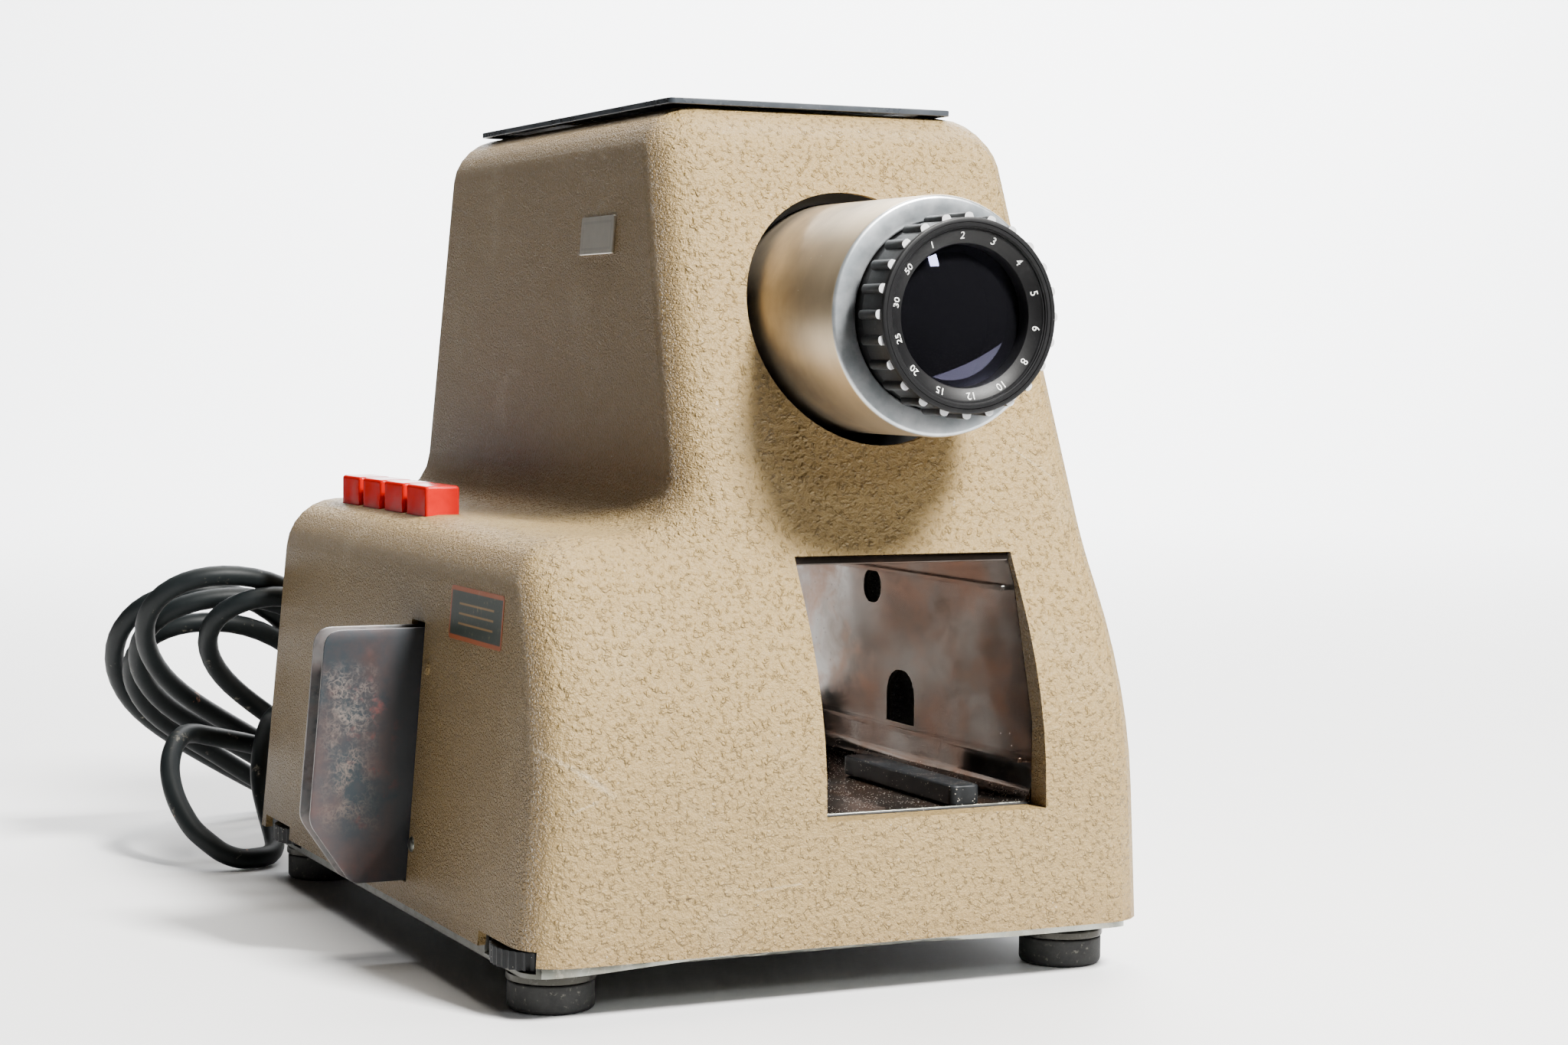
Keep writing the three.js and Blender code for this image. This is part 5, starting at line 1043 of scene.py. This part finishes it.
def buildGrip():
    # a plain front lip, then a band of half-round ridges whose cut front ends are bare metal
    outline = gripOutline()
    base, front, rear, ridgeFront = (gripRing[key] for key in ("base", "front", "rear", "ridgeFront"))
    chamfer, bore, seat = gripRing["chamfer"], gripRing["bore"], gripRing["seat"]
    # each station gives the height, the radius between the ridges and the share of the ridges' height
    stations = [(front, bore, 0), (front, base - chamfer, 0), (front + chamfer * 0.4, base - chamfer * 0.3, 0),
                (front + chamfer, base, 0), (ridgeFront, base, 0), (ridgeFront + 0.03, base, 1),
                (rear - 0.5, base, 1), (rear - 0.15, base - 0.05, 0.85), (rear, base - 0.4, 0.5),
                (rear, seat, 0), (ridgeFront, seat, 0), (ridgeFront, bore, 0)]
    cutStation = 4
    rise = gripRing["top"] - base
    rings = [[axisPoint(*polar(radius + rise * hump * share, angle), height, lensCentre)
              for angle, hump in outline] for height, radius, share in stations]
    ring = addPiece("focus_grip_ring", skinned(rings, "joined"), "black", "focus_grip", ("focus_ring",))
    smoothMesh(ring.data, 38)
    ring.data.materials.append(looks["bare"].material)
    count = len(outline)
    for k in range(count):
        if outline[k][1] + outline[(k + 1) % count][1] > 0:
            ring.data.polygons[cutStation * count + k].material_index = 1


def buildBezel():
    # a lip level with the grip ring, two fine steps, a lettered cone and a throat down to the glass
    profile = [(22.5, -14.3), (23.3, -14.32), (23.42, -14.2), (23.42, -13.5), (21.7, -13.5), (21.7, -7.5),
               (18, -7.5), (18, -11.1), (18.3, -11.8), (21.3, -13.0), (21.5, -13.3), (21.62, -13.5),
               (21.95, -13.52), (22.05, -13.95), (22.3, -14.0)]
    addPiece("bezel_ring", turnedMesh(profile, lensCentre, 128), "black", "lens_barrel", ("lens_retaining_ring",))


bezel = {"height": 2.75, "relief": 0.04, "radius": 20.1, "cone": 22, "depth": -12.62, "first": 120,
         "figures": ("1", "2", "3", "4", "5", "6", "8", "10", "12", "15", "20", "25", "30", "50")}


def engraveFigures():
    # plain figures all round the bezel's cone
    upright = Matrix.Rotation(math.radians(90), 4, "X")
    tipped = Matrix.Rotation(math.radians(bezel["cone"]), 4, "X")
    for index, text in enumerate(bezel["figures"]):
        data = bpy.data.curves.new(f"figure_{index + 1}", "FONT")
        data.body = text
        data.size = bezel["height"] / perMetre
        data.extrude = bezel["relief"] / perMetre
        data.align_x = "CENTER"
        data.align_y = "CENTER"
        turn = math.radians(bezel["first"] - 360 * index / len(bezel["figures"]))
        spot = axisPoint(*polar(bezel["radius"], turn), bezel["depth"], lensCentre)
        facing = Matrix.Rotation(-(turn - math.pi / 2), 4, "Y")
        figure = linked(f"bezel_figure_{index + 1}", data)
        figure.matrix_world = Matrix.Translation(spot) @ facing @ upright @ tipped
        settle(figure, "white", "lens_barrel")


def domeProfile(radius, y, frontBulge, edge, rearBulge, steps=14):
    shares = [k / steps for k in range(steps + 1)]
    front = [(radius * share, y - frontBulge * (1 - share * share)) for share in shares]
    rear = [(radius * share, y + edge + rearBulge * (1 - share * share)) for share in reversed(shares)]
    return front + rear


def buildGlass(nodeName, pieceName, front, rear):
    # a polished lens inside the node's own box, with its two bulges in mm
    low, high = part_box(nodeName)
    middle = (low + high) / 2
    radius = (high.x - low.x) * perMetre / 2
    y0 = low.y * perMetre + front + drawing["y"]
    edge = (high.y - low.y) * perMetre - front - rear
    centre = (middle.x * perMetre + drawing["x"], 0, middle.z * perMetre)
    mesh = turnedMesh(domeProfile(radius, y0, front, edge, rear), centre, 72)
    addPiece(pieceName, mesh, "coated", "lens_barrel", (nodeName,))


buildSleeve()
buildGrip()
buildBezel()
engraveFigures()
buildGlass("front_lens", "front_element", 3.6, 0)
buildGlass("middle_lens", "middle_element", 1.4, 1.4)
buildGlass("rear_lens", "rear_element", 3.6, 0)
print("lens dressed")

# magazine tunnel and its guide

dressed("magazine_tunnel", "tunnel_sheet", "nickel", "casing", 0.25, 2)
dressed("magazine_guide_bar", "guide_bar_moulding", "bakelite", "casing", 0.7, 3)

mouthLip = {"left": 80.8, "right": 144.2, "bottom": 109.9, "top": 112.1, "front": 20.9, "lean": 0.297,
            "sheet": 0.9}


def mouthLipMesh():
    # the turned-down front edge of the tunnel's ceiling; the nickel finish paints it dark as the shadow under the
    # window's top
    front, rear, low = mouthLip["front"], mouthLip["front"] + mouthLip["sheet"], mouthLip["bottom"]
    profile = [(front, low), (front, mouthLip["top"]), (rear, mouthLip["top"]), (rear, low)]
    return skinned([[place(x, y + mouthLip["lean"] * (z - low), z) for y, z in profile]
                    for x in (mouthLip["left"], mouthLip["right"])], "capped")


roundEdges(addPiece("tunnel_front_lip", mouthLipMesh(), "nickel", "casing"), 0.3, 2)
# the floor's rolled front edge is rubbed bright, with a dark seal before it: depth, height and radius in mm
floorEdge = {"tunnel_floor_bead": (8.9, 46.4, 0.45, "zinc"), "tunnel_floor_seal": (7.9, 46.3, 0.45, "soot")}
for name, (y, z, radius, look) in floorEdge.items():
    profile = [(0, 81.2), (radius * 0.7, 81.3), (radius, 81.8), (radius, 143.2), (radius * 0.7, 143.7), (0, 143.8)]
    addPiece(name, turnedMesh(profile, (0, y, z), 16, "x"), look, "casing")
print("tunnel dressed")

# changer, buttons


def changerOutline(inset):
    # the plate's outline from the inner end, round the top corner and down to the chamfer
    low, high = changer["bottom"] + inset, changer["top"] - inset
    chamferTop = low + changer["chamferZ"]

    def leftAt(z):
        return changer["left"] - changer["lean"] * (changer["top"] - z) + inset

    corners = [((changer["end"], low), 0), ((changer["end"], high), 0), ((leftAt(high), high), changer["radius"]),
               ((leftAt(chamferTop), chamferTop), changer["softRadius"]),
               ((leftAt(low) + changer["chamferX"], low), changer["softRadius"])]
    outline = []
    for index, (corner, radius) in enumerate(corners):
        here = Vector(corner)
        before = (Vector(corners[index - 1][0]) - here).normalized()
        after = (Vector(corners[(index + 1) % len(corners)][0]) - here).normalized()
        if radius == 0:
            outline.append(here)
            continue
        start, end = here + before * radius, here + after * radius
        outline += [start.lerp(here, t / 8).lerp(here.lerp(end, t / 8), t / 8) for t in range(9)]
    return outline


def changerMesh():
    # two plates with a recessed web between them, which the finish paints dark as shade
    sheet, recess = changer["sheet"], changer["recess"]
    front, rear = changer["front"], changer["rear"]
    stations = [(front, 0), (front + sheet, 0), (front + sheet, recess), (rear - sheet, recess),
                (rear - sheet, 0), (rear, 0)]
    return skinned([[place(p.x, y, p.y) for p in changerOutline(inset)] for y, inset in stations], "capped")


changerPiece = addPiece("changer_plate", changerMesh(), "steel", "changer", ("slide_changer",))
roundEdges(changerPiece, 0.25, 2, 40)
smoothMesh(changerPiece.data, 40)
for number in range(1, 5):
    dressed(f"push_button_{number}", f"button_cap_{number}", "red", f"button_{number}", 0.9, 4)
print("controls dressed")

# feet and height wheels

for corner in ("front_left", "rear_left", "front_right", "rear_right"):
    onFoot = f"foot_{corner}" if corner.endswith("left") else "casing"
    dressed(f"foot_rubber_{corner}", f"foot_pad_{corner}", "rubber", onFoot, 0.6, 3)
    dressed(f"foot_spindle_{corner}", f"foot_cup_{corner}", "zinc", onFoot, 0.25, 2)
for corner in ("front_left", "rear_left"):
    dressed(f"height_wheel_{corner}", f"knurled_wheel_{corner}", "bakelite", f"wheel_{corner}", 0.2, 2)
print("feet dressed")

# plate and label on the casing's left side, with the heads of two rivets: depths and heights in mm

wall = {"stepFoot": 14.3, "stepLean": 0.077, "stepTop": 117.6, "towerLeft": 52.2, "towerLean": 0.075}
badge = {"y": (90, 114.5), "z": (191.6, 202.2), "thickness": 0.7, "corner": 0.5}
label = {"y": (35, 76), "z": (88.8, 102.8), "thickness": 0.12, "corner": 1.2}
rivets = ((91.5, 79, "paint"), (93.5, 31, "zinc"))


def wallX(z):
    # the left wall below the step and the tower's wall above it
    if z < wall["stepTop"]:
        return wall["stepLean"] * (z - wall["stepFoot"])
    return wall["towerLeft"] + wall["towerLean"] * (z - wall["stepTop"])


def plateMesh(y, z, thickness, corner):
    # a thin plate that lies on the leaning wall, with rounded corners
    outline = []
    (y0, y1), (z0, z1) = (y[0] + corner, y[1] - corner), (z[0] + corner, z[1] - corner)
    for cy, cz, start in ((y1, z1, 0), (y0, z1, 90), (y0, z0, 180), (y1, z0, 270)):
        for k in range(5):
            dy, dz = polar(corner, math.radians(start + 90 * k / 4))
            outline.append((cy + dy, cz + dz))
    return skinned([[place(wallX(b) + off, a, b) for a, b in outline] for off in (-thickness, 0.05)], "capped")


roundEdges(addPiece("blank_plate", plateMesh(**badge), "plate", "casing"), 0.2, 2)
addPiece("blank_label", plateMesh(**label), "label", "casing")
rivetProfile = [(0, -0.9), (0.9, -0.85), (1.7, -0.55), (2.1, -0.1), (2.2, 0.2), (0, 0.2)]
for index, (y, z, look) in enumerate(rivets):
    addPiece(f"wall_rivet_{index + 1}", turnedMesh(rivetProfile, (wallX(z), y, z), 20, "x"), look, "casing")
print("plates set")
